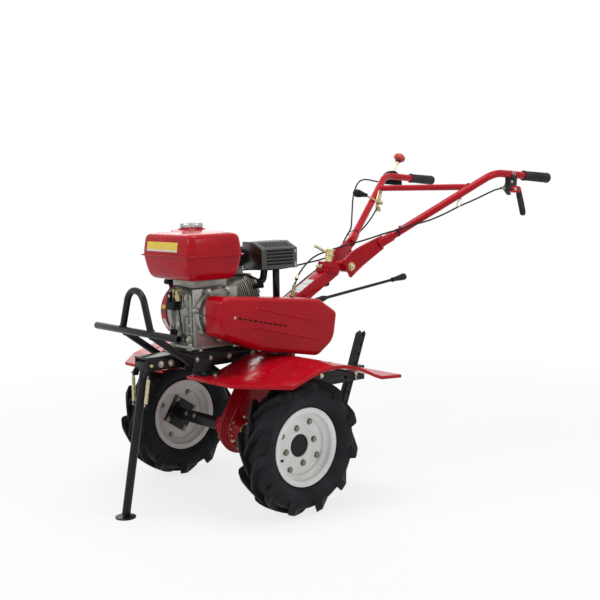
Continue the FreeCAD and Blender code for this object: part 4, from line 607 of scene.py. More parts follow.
for side, sign in SIDES:
    wheel = "wheel_" + side
    rim = turned(RIM_FLANGE + RIM_DISC + flipped(RIM_FLANGE) + flipped(RIM_WELL[:-1]) + RIM_WELL,
                 spot(sign * TRACK_HALF, *AXLE), X, 96)
    piece("rim_" + side + "_pressing", rim, white_enamel, wheel, "rim_" + side)
    marks = []
    for quarter in range(4):
        for reach, first, size, out, back in ((54, 12, 7.6, 3.7, 11.0),
                                              (76, 59.5 if sign > 0 else 62, 7.2, 2.4, 2.4)):
            turn = math.radians(first + 90 * quarter)
            marks.append((round_spot(sign * (TRACK_HALF + out), *AXLE, reach, turn), X * sign, size))
            marks.append((round_spot(sign * (TRACK_HALF - back), *AXLE, reach, turn), X * -sign, size))
    softened("hub_" + side, 0.0012, black_enamel, 25)
    aim = tipped(-33)[0]
    for reach in (242, 196):
        marks += [(spot(sign * reach, *AXLE) + aim * way * 0.0192, aim * way, 6.0) for way in (1, -1)]
    screws("wheel_screws_" + side, marks, wheel, dull_zinc)
    # The valve slot is a thin black patch on the disc: painted shade for the opening.
    hole = [round_spot(sign * (TRACK_HALF + 2.5), u, 200 + v, 77, math.radians(-154))
            for u, v in ((-8, -4), (8, -4), (8, 4), (-8, 4))]
    piece("valve_slot_shade_" + side, slab(hole, X * sign * 0.0003), black_enamel, wheel)


# ------------------------------------------------------------------ rails, engine bed and front bracket
# Folded steel channels screwed to both sides of the gear case, with the engine on a plate above.
# A folded bracket between their front ends carries the stand; all of it is black enamel.
for part in ("frame_rails", "engine_bed", "front_bracket", "fender_brackets", "fender_stay"):
    softened(part, 0.0009, black_enamel)
marks = []
for side, sign in SIDES:
    marks += [(spot(sign * 60.4, y, z), X * sign, 6.6)
              for y, z in ((-180, 445), (-131, 444), (-60, 443), (30, 443), (118, 443), (172, 443))]
    marks += [(spot(sign * 33.1, y, 442), X * sign, 7.4) for y in (-287.5, -253)]
    marks += [(spot(sign * 66, y, 471.4), Z, 6.2) for y in (-168, -44)]
screws("rail_screws", marks)


# ------------------------------------------------------------------ bumper
# A cross bar and a bent hoop of round steel tube on two slanting legs, welded, black enamel.
# The tube ends are open, and a bead of weld runs round each joint.
for part in ("bumper_bar", "bumper_hoop", "bumper_legs"):
    softened(part, 0.0005, black_enamel)


def weld(centre, aim, radius):
    """A rippled ring of weld round a tube; radius is the tube's in mm."""
    aim = aim.normalized()
    rings = []
    for out, turn in zip(round_about(aim, 56), turns(56)):
        fat = 1.9 + 0.45 * math.sin(turn * 17) + 0.3 * math.sin(turn * 5 + 1)
        rings.append([centre + (out * (radius + fat * math.cos(swing))
                                + aim * fat * 1.25 * math.sin(swing)) / 1000 for swing in turns(8)])
    return skinned(rings, 60, False, True)


for side, sign in SIDES:
    hoop_weld = weld(spot(sign * 75.6, -346.5, 549.6), Vector((-0.12 * sign, 0, 1)), 9.6)
    piece("hoop_weld_" + side, hoop_weld, black_enamel)
    leg_weld = weld(spot(sign * 71.0, -339, 533), Vector((0, 0.81, -0.58)), 9.8)
    piece("leg_weld_" + side, leg_weld, black_enamel)


# ------------------------------------------------------------------ front stand
# A tube leg on a pin through the front bracket, with a welded foot plate, black enamel.
# Two close-wound springs of yellow zinc plated wire hold it against its stop.
softened("stand_leg", 0.0008, black_enamel)
softened("stand_foot", 0.0006, black_enamel)
softened("stand_pin", 0.0008, yellow_zinc)


def heading(points, number):
    """The direction of a run of points at one of them."""
    return (points[min(len(points) - 1, number + 1)] - points[max(0, number - 1)]).normalized()


def run_of_tube(points, radius, sides=8, ends=True):
    """A round wire or cable through closely spaced points; radius in metres."""
    across = (points[1] - points[0]).normalized().orthogonal().normalized()
    rings = []
    for number, point in enumerate(points):
        aim = heading(points, number)
        across = (across - aim * across.dot(aim)).normalized()
        rings.append([point + way * radius for way in round_about(aim, sides, across)])
    return skinned(rings, 50, ends)


COIL_STEPS = 14


def coil_spring(top, low, coil, wire, coils):
    """A close-wound spring with a hook at each end; coil and wire are radii in mm."""
    aim = (low - top).normalized()
    across = aim.cross(Y).normalized()
    other = aim.cross(across)
    reach = (low - top).length * 1000
    lead = coil * 1.9

    def hook(end, way, first):
        swings = [first + way * math.pi * 1.25 * step / COIL_STEPS for step in range(COIL_STEPS + 1)]
        return [end + (aim * way * (lead * 0.5 - lead * 0.5 * math.cos(swing) - 1)
                       + other * coil * 0.8 * math.sin(swing)) / 1000 for swing in swings]

    points = hook(top, 1, -math.pi * 0.15)
    for step in range(coils * COIL_STEPS + 1):
        turn = 2 * math.pi * step / COIL_STEPS
        down = lead + (reach - 2 * lead) * step / (coils * COIL_STEPS)
        points.append(top + (aim * down + (across * math.cos(turn) + other * math.sin(turn)) * coil) / 1000)
    return run_of_tube(points + hook(low, -1, math.pi * 1.1), wire / 1000, 6)


spring_zinc = plated("spring_zinc", (0.62, 0.56, 0.38), (0.44, 0.40, 0.24), 0.34)
SPRING_Y = -336
SPRING_FOOT_Y = -322 - (441 - 322) * math.tan(math.radians(10.4))
coils = [coil_spring(spot(sign * 42, SPRING_Y, 413), spot(sign * 31, SPRING_FOOT_Y, 323), 4.7, 1.1, 29)
         for side, sign in SIDES]
stand_springs = piece("stand_coils", coils, spring_zinc, None, "stand_springs")
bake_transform(stand_springs)


# ------------------------------------------------------------------ crankcase
# Die-cast aluminium, left as cast, with ribs and bosses; a lobed cover closes the belt side.
# Seven screws hold the cover, and the foot is screwed to the engine bed.
CRANK = (-108, 578)
FOOT_PADS = ((-48, -186), (40, -186), (-48, -26), (40, -26))
FILLER = spot(-36, -178, 512)
FILLER_AIM = Vector((0, -0.9, 0.4))


def cast_metal(name, colour, dark):
    """Sand-rough cast aluminium with grey stains in its hollows."""
    look = new_finish(name, "engine_cast", Metallic=0.75)
    tree = look[1]
    tone = graded(tree, cloud(tree, 22, detail=8), (0.3, tinted(colour, 0.82)), (0.7, tinted(colour, 1.12)))
    stain = graded(tree, cloud(tree, 130), (0.35, dark), (0.7, tinted(colour, 0.9)))
    share = ranged(tree, cloud(tree, 46, detail=7), 0.5, 0.72, 0.0, 0.55)
    rough = ranged(tree, cloud(tree, 90), 0.3, 0.7, 0.36, 0.56)
    return dressed(look, laid_over(tree, share, tone, stain), rough, cloud(tree, 780), 0.5, 0.0007)


cast_aluminium = cast_metal("cast_aluminium", (0.34, 0.345, 0.315), (0.10, 0.098, 0.08))
dull_cast = cast_metal("dull_cast", (0.36, 0.38, 0.40), (0.16, 0.16, 0.16))
black_plastic = worn_rubber("black_plastic", "black_plastic", (0.012, 0.012, 0.013), (0.05, 0.05, 0.05))
softened("crankcase", 0.006, cast_aluminium, 40, 3)


def block(low, high, width=0.002, steps=2):
    """A rounded block between two corners in mm."""
    outline = [spot(low[0], y, z) for y, z in ((low[1], low[2]), (high[1], low[2]), (high[1], high[2]),
                                               (low[1], high[2]))]
    return slab(outline, X * (high[0] - low[0]) / 1000, width, steps)


def disc(place, radius, height, steps, soft=1.2):
    """A turned disc with softened rim, standing out along X."""
    return solid([(0, radius), (height - soft, radius), (height, radius - soft)], place, X, steps)


ribs = [block((x - 1.8, -184.5, 492), (x + 1.8, -170, 640), 0.0016) for x in (-52, -26, 0, 24, 44)]
ribs += [block((-60, -183.4, z - 2), (56, -172, z + 2), 0.0016) for z in (520, 566, 604)]
ribs += [block((52, -186, 480), (62.2, -24, 655), 0.004), block((-72.4, -186, 486), (-62, -24, 652), 0.004),
         solid([(0, 15), (4, 15), (5.4, 13.4)], spot(6, -180, 583), -Y, 40),
         solid([(0, 13), (9, 11.5), (10, 10)], spot(34, -178, 503), -Y, 32),
         solid([(0, 17), (10, 15), (12, 13.5)], FILLER, FILLER_AIM, 32)]
ribs += [solid([(0, 13), (14, 12), (15, 11)], spot(x, y, 472), Z, 28) for x, y in FOOT_PADS]
piece("crankcase_ribs", ribs, cast_aluminium)
piece("fan_side_casting", disc(spot(-72.2, *CRANK), 85, 20, 72, 3), dull_cast)

cover = [disc(spot(62.3, *CRANK), 77, 17, 72, 3.5), disc(spot(79.3, *CRANK), 61, 9, 60, 4),
         disc(spot(88, *CRANK), 24, 13.2, 36, 1)]
marks = []
for turn in turns(7):
    cover.append(disc(round_spot(62.3, *CRANK, 78, turn + 0.25), 9.5, 17, 24))
    marks.append((round_spot(79.3, *CRANK, 78, turn + 0.25), X, 5.6))
for step in range(6):
    across, side_on = tipped(60 * step)
    outline = [spot(79.2, *CRANK) + (across * u + side_on * v) / 1000
               for u, v in ((20, -2), (72, -1.6), (72, 1.6), (20, 2))]
    cover.append(slab(outline, X * 0.011, 0.001))
piece("crankcase_side_cover", cover, cast_aluminium, "chassis", "crankcase_cover")
marks += [(spot(x, y, 487), Z, 6.4) for x, y in FOOT_PADS]
marks += [(spot(x, y, z), -Y, size) for x, y, z, size in (
    (34, -188, 503, 7.0), (-20, -184.5, 545, 4.5), (20, -184.5, 626, 4.8), (-40, -184.5, 632, 4.8),
    (38, -184.5, 545, 4.5))]
screws("crankcase_screws", marks)
piece("filler_plug", [solid([(10, 12.5), (20, 12), (22, 10)], FILLER, FILLER_AIM, 24),
                      block((-38.5, -206, 514), (-33.5, -197, 530), 0.0015)], black_plastic)


# ------------------------------------------------------------------ governor and ignition parts
# A pressed lever with its spring and a black ignition box, on the case's front under the tank.
# The lever, studs and nuts are yellow zinc plated, and one wire runs down to the case.
SOLENOID_AIM = Vector((0, -0.2, 1))
piece("ignition_box", [block((-58, -206, 588), (-16, -181, 612), 0.003),
                       block((-62, -200, 606), (-44, -182, 640), 0.003),
                       solid([(0, 8), (10, 7.4), (12, 5)], spot(-24, -196, 612), Z, 24)], black_plastic)
piece("governor_lever", [block((-34, -196, 618), (-30, -184, 652), 0.0008),
                         solid([(0, 3), (26, 3)], spot(-30, -188, 640), X, 16),
                         solid([(0, 9), (18, 9), (18, 6), (24, 6)], spot(-12, -190, 618), SOLENOID_AIM, 28),
                         coil_spring(spot(-28, -195, 646), spot(16, -195, 652), 3.2, 0.5, 13)], yellow_zinc)
screws("governor_nuts", [(spot(-4, -188, 640), X, 4.6), (spot(-12, -195, 642), SOLENOID_AIM, 4.8),
                         (spot(-44, -201, 630), -Y, 3.6)])


def smooth_route(points, closeness=8):
    """Points along the NURBS spline that has these control points."""
    line = bpy.data.curves.new("route", "CURVE")
    line.dimensions = "3D"
    line.resolution_u = closeness
    spline = line.splines.new("NURBS")
    spline.points.add(len(points) - 1)
    for number, point in enumerate(points):
        spline.points[number].co = (*point, 1)
    spline.order_u = 3
    spline.use_endpoint_u = True
    return [vertex.co.copy() for vertex in plain_mesh(put_in("route", line)).vertices]


def routed(places, closeness=8):
    """A smooth route over places given in mm."""
    return smooth_route([spot(*place) for place in places], closeness)


SWITCH_WIRE = ((-16, -196, 600), (-4, -198, 596), (4, -196, 575), (0, -192, 545), (6, -191, 520),
               (14, -188, 500), (26, -184, 492))
COIL_WIRE = ((-52, -196, 640), (-48, -200, 652), (-30, -198, 662), (0, -192, 664), (40, -186, 655),
             (52, -184, 630))
piece("ignition_wires", [run_of_tube(routed(SWITCH_WIRE), 0.0018), run_of_tube(routed(COIL_WIRE), 0.0016)],
      black_plastic)


# ------------------------------------------------------------------ recoil starter and fan shroud
# A pressed steel shroud over the flywheel fan with the rope starter on it, red enamel.
# Air enters through a ring of slots, drawn as thin black patches of painted shade; the pull handle rests in
# its guide on top.
SHROUD = [(0, 0), (0, 86), (1, 89), (4, 89), (5, 87.6), (26, 87.6), (32, 86), (36, 82), (38, 76), (40, 74),
          (41, 66), (47, 64), (50.4, 60), (51.8, 54), (51.8, 22), (50, 18), (50, 0)]
piece("recoil_shroud", turned(SHROUD, spot(-72.3, *CRANK), -X, 84), red_enamel, "chassis", "recoil_housing")


def printed_paper(name, bands, along, low, high, slot="red_paint"):
    """A blank glossy label in bands of plain colour along one axis, in metres."""
    look = new_finish(name, slot)
    tree = look[1]
    place = node(tree, "ShaderNodeTexCoord").outputs["Object"]
    split = node(tree, "ShaderNodeSeparateXYZ", {0: place})
    banded = graded(tree, ranged(tree, split.outputs[along], low, high, 0, 1), *bands)
    banded.node.color_ramp.interpolation = "CONSTANT"
    faded = graded(tree, cloud(tree, 60), (0.3, (0.9, 0.9, 0.9)), (0.7, (1, 1, 1)))
    tone = laid_over(tree, 1.0, banded, faded, "MULTIPLY")
    return dressed(look, tone, ranged(tree, cloud(tree, 80), 0.3, 0.7, 0.22, 0.34))


def sheet(rows):
    """An open sheet over rows of points; from its front, a row runs up and the next lies to its right."""
    count = len(rows[0])
    mesh = bpy.data.meshes.new("sheet")
    mesh.from_pydata([point for row in rows for point in row], [],
                     [(a * count + b, (a + 1) * count + b, (a + 1) * count + b + 1, a * count + b + 1)
                      for a in range(len(rows) - 1) for b in range(count - 1)])
    return smoothed(mesh)


def curved_label(name, ends, low, high, paper):
    """A blank label on the shroud's round side, between two places along it and two heights in degrees."""
    angles = [math.radians(180 - low - (high - low) * step / 8) for step in range(9)]
    piece(name, sheet([[round_spot(x, *CRANK, 88.0, turn) for x in ends] for turn in angles]), paper)


pale_paper = printed_paper("pale_paper", [(0.0, (0.62, 0.62, 0.60)), (0.55, (0.50, 0.50, 0.50))],
                           2, 0.520, 0.560)
dark_paper = printed_paper("dark_paper", [(0.0, (0.03, 0.03, 0.03)), (0.58, (0.70, 0.48, 0.04))],
                           2, 0.572, 0.600)
curved_label("shroud_pale_label", (-78, -96.5), -38, -14, pale_paper)
curved_label("shroud_dark_label", (-76.5, -97.5), -2, 14, dark_paper)


def slot_row_tree():
    """Copies of the piece's own mesh along a straight row."""
    tree, given = new_tree("in_a_row", [("Count", "Int", 5), ("Step", "Vector", None)])
    line = node(tree, "GeometryNodeMeshLine", {"Count": given["Count"], "Offset": given["Step"]})
    return ended(tree, given, line.outputs[0], given["Geometry"])


in_a_row = slot_row_tree()
PULL = spot(-104, CRANK[0] - 40, CRANK[1] + 74)
PULL_AIM = Vector((0, -0.55, 1))
# The air slots are thin black patches on the shroud face: painted shade, not openings.
shade_patch = [Vector((-0.1, y, z)) / 1000 for y, z in ((24, -2.6), (50, -4.0), (50, 4.0), (24, 2.6))]
shade_patches = grown(slab(shade_patch, X * -0.0005), round_the_axle, black_plastic, Count=18, Phase=0.0,
              Centre=spot(-124, *CRANK))
piece("starter_slot_shades", shade_patches, black_plastic)
piece("starter_pull", [solid([(0, 11), (14, 9), (16, 7)], PULL, PULL_AIM, 28),
                       solid([(14, 5), (17, 16), (20, 19), (25, 19), (29, 15), (31, 6)], PULL, PULL_AIM, 28)],
      black_plastic)
screws("starter_screws", [(round_spot(-110.5, *CRANK, 70, turn + math.radians(20)), -X, 5.0)
                          for turn in turns(6)])


# ------------------------------------------------------------------ cylinder and head
# Cast aluminium barrel and head with thin square fins, leaning back over the gear case; the fins' aluminium
# is painted darker as shade.
# The valve cover is screwed to the head's far end, with the spark plug and its cap beside it.
AXIS, ACROSS = tipped(20)
CORNERS = ((1, 1), (-1, 1), (-1, -1), (1, -1))
# A darker copy of the cast aluminium: painted shade between the barrel and head fins.
shaded_fin_cast = cast_metal("shaded_fin_cast", (0.30, 0.29, 0.25), (0.07, 0.067, 0.055))


def up_cylinder(reach, x=0, across=0):
    """A point of the cylinder: reach along its axis, x to the side, across towards its upper side."""
    return spot(x, *CRANK) + (AXIS * reach + ACROSS * across) / 1000


def soft_square(half_x, half_across, corner, steps=7):
    """(x, across) points of a square with round corners, in mm."""
    points = []
    for number, (u, v) in enumerate(CORNERS):
        for step in range(steps + 1):
            turn = math.pi / 2 * (number + step / steps)
            points.append((u * (half_x - corner) + corner * math.cos(turn),
                           v * (half_across - corner) + corner * math.sin(turn)))
    return points


def plate_across(reach, thick, half_x, half_across, corner, soft=0.0):
    """A plate square to the cylinder's axis."""
    outline = [up_cylinder(reach, x, across) for x, across in soft_square(half_x, half_across, corner)]
    return slab(outline, AXIS * thick / 1000, soft)


barrel_fins = grown(plate_across(84, 2.2, 49, 48, 24), in_a_row, shaded_fin_cast, Count=9, Step=AXIS * 0.0074)
piece("cylinder_casting", [barrel_fins, solid([(70, 40), (150, 40)], up_cylinder(0), AXIS),
                           plate_across(70, 9, 50, 49, 14, 0.0015)], shaded_fin_cast, "chassis", "cylinder")
head = [grown(plate_across(151, 2.2, 46, 45, 15), in_a_row, shaded_fin_cast, Count=5, Step=AXIS * 0.0072),
        plate_across(150, 34, 37, 37, 10, 0.001), plate_across(149, 3, 44, 43, 14, 0.0008),
        plate_across(180, 5, 41, 41, 10, 0.001)]
for x in range(-36, 42, 9):
    upright_fin = [up_cylinder(reach, x - 1.1, across)
                   for reach, across in ((151, 26), (182, 26), (182, 50), (151, 50))]
    head.append(slab(upright_fin, X * 0.0022))
piece("cylinder_head_casting", head, shaded_fin_cast, "chassis", "cylinder_head")
piece("valve_cover", [plate_across(185, 3, 38, 34, 10, 0.0008), plate_across(188, 13, 33, 28, 9, 0.004)],
      cast_aluminium)
screws("head_screws", [(up_cylinder(188, u * 33, v * 29), AXIS, 4.6) for u, v in CORNERS]
       + [(up_cylinder(79, u * 41, v * 40), AXIS, 6.0) for u, v in CORNERS])
PLUG_LEAD = ((190, 62, 0), (196, 66, 6), (190, 58, 26), (160, 30, 58), (110, -20, 60), (84, -50, 52))
plug_lead = smooth_route([up_cylinder(*place) for place in PLUG_LEAD])
piece("spark_plug_cap", [solid([(6, 8.5), (22, 9), (26, 7), (42, 6.4), (46, 5)], up_cylinder(168, 30, 12),
                               AXIS * 0.55 + X * 0.75 - ACROSS * 0.2, 24),
                         run_of_tube(plug_lead, 0.0032, 10)], black_plastic)


# ------------------------------------------------------------------ carburettor and air cleaner
# A die-cast carburettor with its float bowl and choke lever on the starter side of the head.
# The air cleaner over it is a black plastic box with a lid and one wing nut.
piece("carburettor_body", [block((-58, 18, 640), (-52.4, 86, 703), 0.002),
                           block((-92, 26, 650), (-56, 78, 690), 0.006, 3),
                           solid([(0, 21), (4, 21), (5, 19), (17, 18), (20, 14)], spot(-74, 52, 652), -Z, 36),
                           solid([(0, 17), (26, 17)], spot(-84, 52, 680), Z, 32),
                           solid([(0, 15), (20, 15)], spot(-42.3, 62, 655), -X, 32)],
      cast_aluminium, "chassis", "carburettor")
choke = [spot(-96, y, z) for y, z in ((30, 690), (36, 694), (62, 676), (58, 670))]
piece("choke_lever", [slab(choke, X * -0.0015), solid([(0, 5), (5, 5)], spot(-74, 52, 632), -Z, 6)],
      yellow_zinc)


def crowned_box(x, y, rings):
    """A box built up in rings of (z, half x, half y, corner radius), in mm, closed at both ends."""
    return skinned([[spot(x + u, y + v, z) for u, v in soft_square(half_x, half_y, corner, 9)]
                    for z, half_x, half_y, corner in rings], 40)


CLEANER_BASE = [(705, 48, 62, 14), (706, 51, 65, 15), (727, 52, 66, 16), (728.5, 51, 65, 16),
                (729, 50, 64, 15)]
CLEANER_LID = [(729, 50, 64, 15), (729.6, 52, 66, 16), (752, 50.5, 64.5, 18), (758, 48, 62, 18),
               (761.4, 43, 57, 16), (763, 34, 48, 12)]
lid_ribs = [block((x - 2, 4, 760), (x + 2, 100, 764), 0.001) for x in (-106, -94, -70, -58)]
piece("air_cleaner_box", [crowned_box(-82, 52, CLEANER_BASE), crowned_box(-82, 52, CLEANER_LID)] + lid_ribs,
      black_plastic, "chassis", "air_cleaner")
screws("cleaner_screw", [(spot(-82, 52, 762), Z, 6)])


# ------------------------------------------------------------------ fuel tank
# Two deep-drawn steel shells welded along a flat flange, red gloss enamel, on a cast bracket.
# The screw cap is chromed and knurled, and blank paper labels are stuck on the front and top.
TANK_X = 8
TANK_Y = -150
LOWER_SHELL = [(682.2, 92, 60, 18), (683, 101, 68, 20), (686, 109, 76, 22), (693, 116, 83, 24),
               (704, 121, 88, 25), (722, 125, 92, 25), (740, 128.2, 95.2, 25), (753.4, 130, 97, 25)]
FLANGE = [(752.9, 137.2, 104.2, 31), (753.6, 138, 105, 31.5), (756.4, 138, 105, 31.5),
          (757.1, 137.2, 104.2, 31)]
UPPER_SHELL = [(756.6, 130.6, 97.6, 25), (772, 129.6, 96.6, 25), (790, 127.6, 94.6, 24.5),
               (804, 125.6, 92.6, 24), (811, 123.2, 90.2, 23.4), (815.4, 119, 86, 22.6), (818.4, 112, 79, 22),
               (820, 103, 70, 22), (823, 84, 52, 24), (826.4, 64, 46, 26), (828.4, 50, 42, 30),
               (829, 40, 40, 34), (833, 38.5, 38.5, 38)]
CAP_RINGS = [(833.2, 30, 0), (833.6, 32.5, 0.6), (836, 33.4, 0.4), (845, 33.2, 0.4), (848, 31.6, 0.2),
             (849.6, 28, 0), (850.0, 20, 0), (848.8, 18, 0), (848.4, 8, 0)]
CAP_LOBES = 28
tank = crowned_box(TANK_X, TANK_Y, LOWER_SHELL + FLANGE + UPPER_SHELL)
piece("fuel_tank_shells", tank, red_enamel, "chassis", "fuel_tank")
look = new_finish("cap_chrome", "cap_chrome", Metallic=1.0)
tree = look[1]
chrome = dressed(look, graded(tree, cloud(tree, 50), (0.3, (0.30, 0.30, 0.30)), (0.7, (0.46, 0.45, 0.43))),
                 ranged(tree, cloud(tree, 120), 0.3, 0.7, 0.20, 0.36), cloud(tree, 300), 0.15, 0.0003)
lobed = [[spot(TANK_X + (radius + lobe * math.cos(turn * CAP_LOBES)) * math.cos(turn),
               TANK_Y + (radius + lobe * math.cos(turn * CAP_LOBES)) * math.sin(turn), z)
          for turn in turns(CAP_LOBES * 4)] for z, radius, lobe in CAP_RINGS]
piece("fuel_cap_chrome", skinned(lobed, 30), chrome, "chassis", "fuel_cap")
softened("tank_bracket", 0.002, cast_aluminium)

label_paper = printed_paper("label_paper", [(0.0, (0.72, 0.62, 0.58)), (0.22, (0.80, 0.58, 0.05))],
                            2, 0.766, 0.796)
front_label = [[spot(TANK_X + x, TANK_Y - out, z) for z, out in ((767, 97.9), (781, 95.9), (795, 93.9))]
               for x in range(-96, 66, 8)]
piece("tank_label", sheet(front_label), label_paper)


def crown_height(x, y):
    """The height in mm of the tank's crowned top, at a place measured from the tank's middle."""
    heights = []
    for place, which in ((abs(x), 1), (abs(y), 2)):
        for low, high in zip(UPPER_SHELL[5:], UPPER_SHELL[6:]):
            if high[which] <= place <= low[which]:
                share = (low[which] - place) / (low[which] - high[which])
                heights.append(low[0] + (high[0] - low[0]) * share)
    return min(heights)


top_label = [[spot(x, y, crown_height(x - TANK_X, y - TANK_Y) + 0.7) for y in range(-214, -190, 4)]
             for x in range(-90, -22, 6)]
piece("tank_top_label", sheet(top_label), pale_paper)


# ------------------------------------------------------------------ muffler and exhaust pipes
# A steel muffler box in a louvred guard of black sheet, screwed on, with slots cut in its chamfer.
# The bent inlet pipe comes from the head's port and a straight tail pipe points down.
softened("muffler", 0.002, black_enamel)
softened("exhaust_pipes", 0.0005, black_enamel)


def cut_out(mesh, cutter):
    """The mesh with the cutter's solid taken away."""
    thing = put_in("cut", mesh)
    tool = put_in("cutter", cutter)
    step = thing.modifiers.new("cut", "BOOLEAN")
    step.operation = "DIFFERENCE"
    step.solver = "EXACT"
    step.object = tool
    whole = plain_mesh(thing)
    bpy.data.objects.remove(tool)
    return whole


guard_black = enamel("guard_black", "black_paint", (0.011, 0.011, 0.009), 0.24, (0.05, 0.048, 0.04), 0.7)
guard = softened("muffler_guard", 0.0012, guard_black)
down_chamfer = Vector((46, 0, -21)).normalized()
off_chamfer = Vector((21, 0, 46)).normalized()
LOUVRE_STEP = Z * 0.0102
chamfer_slot = [spot(54, v, 784) + (down_chamfer * u - off_chamfer * 4) / 1000
                for u, v in ((8, 60), (42, 66), (42, 72.6), (8, 66.6))]
side_slot = [spot(96, y, z) for y, z in ((62, 712), (166, 712), (166, 714.6), (62, 714.6))]
chamfer_slots = grown(slab(chamfer_slot, off_chamfer * 0.008), in_a_row, black_enamel, Count=9,
                      Step=Y * 0.0125)
side_slots = grown(slab(side_slot, X * 0.008), in_a_row, black_enamel, Count=5, Step=LOUVRE_STEP)
guard.data = smoothed(cut_out(cut_out(guard.data, chamfer_slots), side_slots))
louvre = [spot(x, y, z) for x, y, z in ((99.9, 60, 715.4), (99.9, 168, 715.4), (102.6, 166, 714.6),
                                        (102.6, 62, 714.6))]
louvres = grown(slab(louvre, Z * 0.0032, 0.0006), in_a_row, black_enamel, Count=5, Step=LOUVRE_STEP)
piece("guard_louvres", smoothed(louvres), black_enamel)
screws("guard_screws", [(spot(100.1, 174, 752), X, 3.6), (spot(100.1, 176, 714), X, 3.6),
                        (spot(100.1, 176, 706), X, 3.2), (spot(30, 184.1, 730), Y, 4),
                        (spot(80, 184.1, 730), Y, 4)], "chassis", chrome)


# ------------------------------------------------------------------ belt cover
# A deep-drawn sheet cover, red gloss enamel, screwed to the plate behind the belt pulleys.
# Two long beads stiffen its side, with a row of small slots between their front ends.
belt_cover = softened("belt_cover", 0.0, red_enamel)
# The back plate takes the darker red: painted shade behind the cover.
softened("belt_back_plate", 0.0006, shaded_red)
COVER_X = 185
SLOT_STEP = Vector((0, 0.0187, -0.00414))
slot_lean = math.atan2(-4.14, 18.7)
slot_outline = []
for turn in turns(12):
    u = (4.4 if math.cos(turn) > 0 else -4.4) + 2.7 * math.cos(turn)
    v = 2.7 * math.sin(turn)
    slot_outline.append(spot(COVER_X - 6, -110 + u * math.cos(slot_lean) - v * math.sin(slot_lean),
                             571.8 + u * math.sin(slot_lean) + v * math.cos(slot_lean)))
slots = grown(slab(slot_outline, X * 0.012), in_a_row, red_enamel, Count=10, Step=SLOT_STEP)
belt_cover.data = smoothed(cut_out(belt_cover.data, slots))
# A thin black sheet behind the slots is painted shade, so they look dark inside.
slot_shade_outline = [spot(COVER_X - 2.6, y, z) for y, z in ((-128, 566), (72, 521), (72, 536), (-128, 582))]
piece("slot_shade_sheet", slab(slot_shade_outline, X * 0.0004), black_plastic)


def bead(places, half=2.7, high=2.3):
    """A pressed bead along a route of (y, z) places on the cover's side, in mm."""
    points = routed([(COVER_X, y, z) for y, z in places], 5)
    rings = []
    for number, point in enumerate(points):
        across = X.cross(heading(points, number)).normalized()
        fade = min(1.0, number / 3, (len(points) - 1 - number) / 3)
        rings.append([point + (across * math.cos(turn) * half
                               + X * (math.sin(turn) * high * fade - 0.25)) / 1000 for turn in turns(12)[:7]])
    return skinned(rings, 70, False)


UPPER_BEAD = [(-62, 586), (-55, 592), (-50, 595.5), (-42, 595), (-20, 589.5), (60, 569), (140, 549),
              (233, 526)]
LOWER_BEAD = [(-76, 532), (-69, 538), (-64, 541.5), (-56, 541), (-34, 535.5), (50, 515), (130, 495.6),
              (220, 474)]
piece("cover_beads", [bead(UPPER_BEAD), bead(LOWER_BEAD)], red_enamel)
screws("cover_screws", [(spot(COVER_X, -129, 576), X, 3.2), (spot(108, 20, 456), -Z, 4.6),
                        (spot(108, 150, 434), -Z, 4.6)])


# ------------------------------------------------------------------ fenders
# Wide arched fenders of sheet steel with turned-down edges, red gloss enamel, over both wheels.
# Rows of short beads are pressed into the crown, and two screws hold each to its bracket.
FENDER_ARCH = [(-220, 404), (-110, 403), (-50, 423), (20, 439.5), (92, 438), (150, 424), (200, 402),
               (240, 387), (322, 382)]


def fender_height(y):
    """The fender's top in mm at a distance from the axle."""
    for (y0, z0), (y1, z1) in zip(FENDER_ARCH, FENDER_ARCH[1:]):
        if y <= y1:
            return z0 + (z1 - z0) * (y - y0) / (y1 - y0)


def dash_tree():
    """Short pressed beads on the points of a mesh, laid along the sheet's slope there."""
    tree, given = new_tree("dashes", [("Half length", "Float", 0.013), ("Half width", "Float", 0.0016),
                                      ("Half height", "Float", 0.0015)])
    ball = node(tree, "GeometryNodeMeshUVSphere", {"Segments": 12, "Rings": 8, "Radius": 1.0})
    shape = node(tree, "ShaderNodeCombineXYZ", {"X": given["Half width"], "Y": given["Half length"],
                                                "Z": given["Half height"]})
    sized = node(tree, "GeometryNodeTransform", {"Geometry": ball.outputs["Mesh"], "Scale": shape.outputs[0]})
    slope = carried(tree, "slope", "FLOAT_VECTOR")
    stand = node(tree, "FunctionNodeAlignRotationToVector", {"Vector": slope}, axis="Y")
    return ended(tree, given, given["Geometry"], sized.outputs[0], Rotation=stand.outputs[0])


dashes_grow = dash_tree()
DASH_ROWS = 7
DASHES_IN_ROW = 5
FIRST_DASH = (150, -78)
DASH_PITCH = 48
ROW_PITCH = 30
ROW_SHIFT = 12
SLOPE_REACH = 5
for side, sign in SIDES:
    softened("fender_" + side, 0.0012, red_enamel, 30, 3)
    places = []
    slopes = []
    for row in range(DASH_ROWS):
        for number in range(DASHES_IN_ROW):
            x = FIRST_DASH[0] + DASH_PITCH * number + ROW_SHIFT * (row % 2)
            y = FIRST_DASH[1] + ROW_PITCH * row
            if x < 384 and (y > -60 or x < 250):
                places.append(spot(sign * x, y, fender_height(y) + 0.1))
                rise = fender_height(y + SLOPE_REACH) - fender_height(y - SLOPE_REACH)
                slopes += [0, 2 * SLOPE_REACH, rise]
    base = bpy.data.meshes.new("dash_places")
    base.from_pydata(places, [], [])
    base.attributes.new("slope", "FLOAT_VECTOR", "POINT")
    base.attributes["slope"].data.foreach_set("vector", slopes)
    piece("fender_dashes_" + side, smoothed(grown(base, dashes_grow, red_enamel), 60), red_enamel)
    screws("fender_screws_" + side, [(spot(sign * x, y, z), Z, 6.4) for x, y, z in (
        (88, -176, 404.2), (124, -160, 404), (150, 270, 384.6), (225, 270, 384.6))])
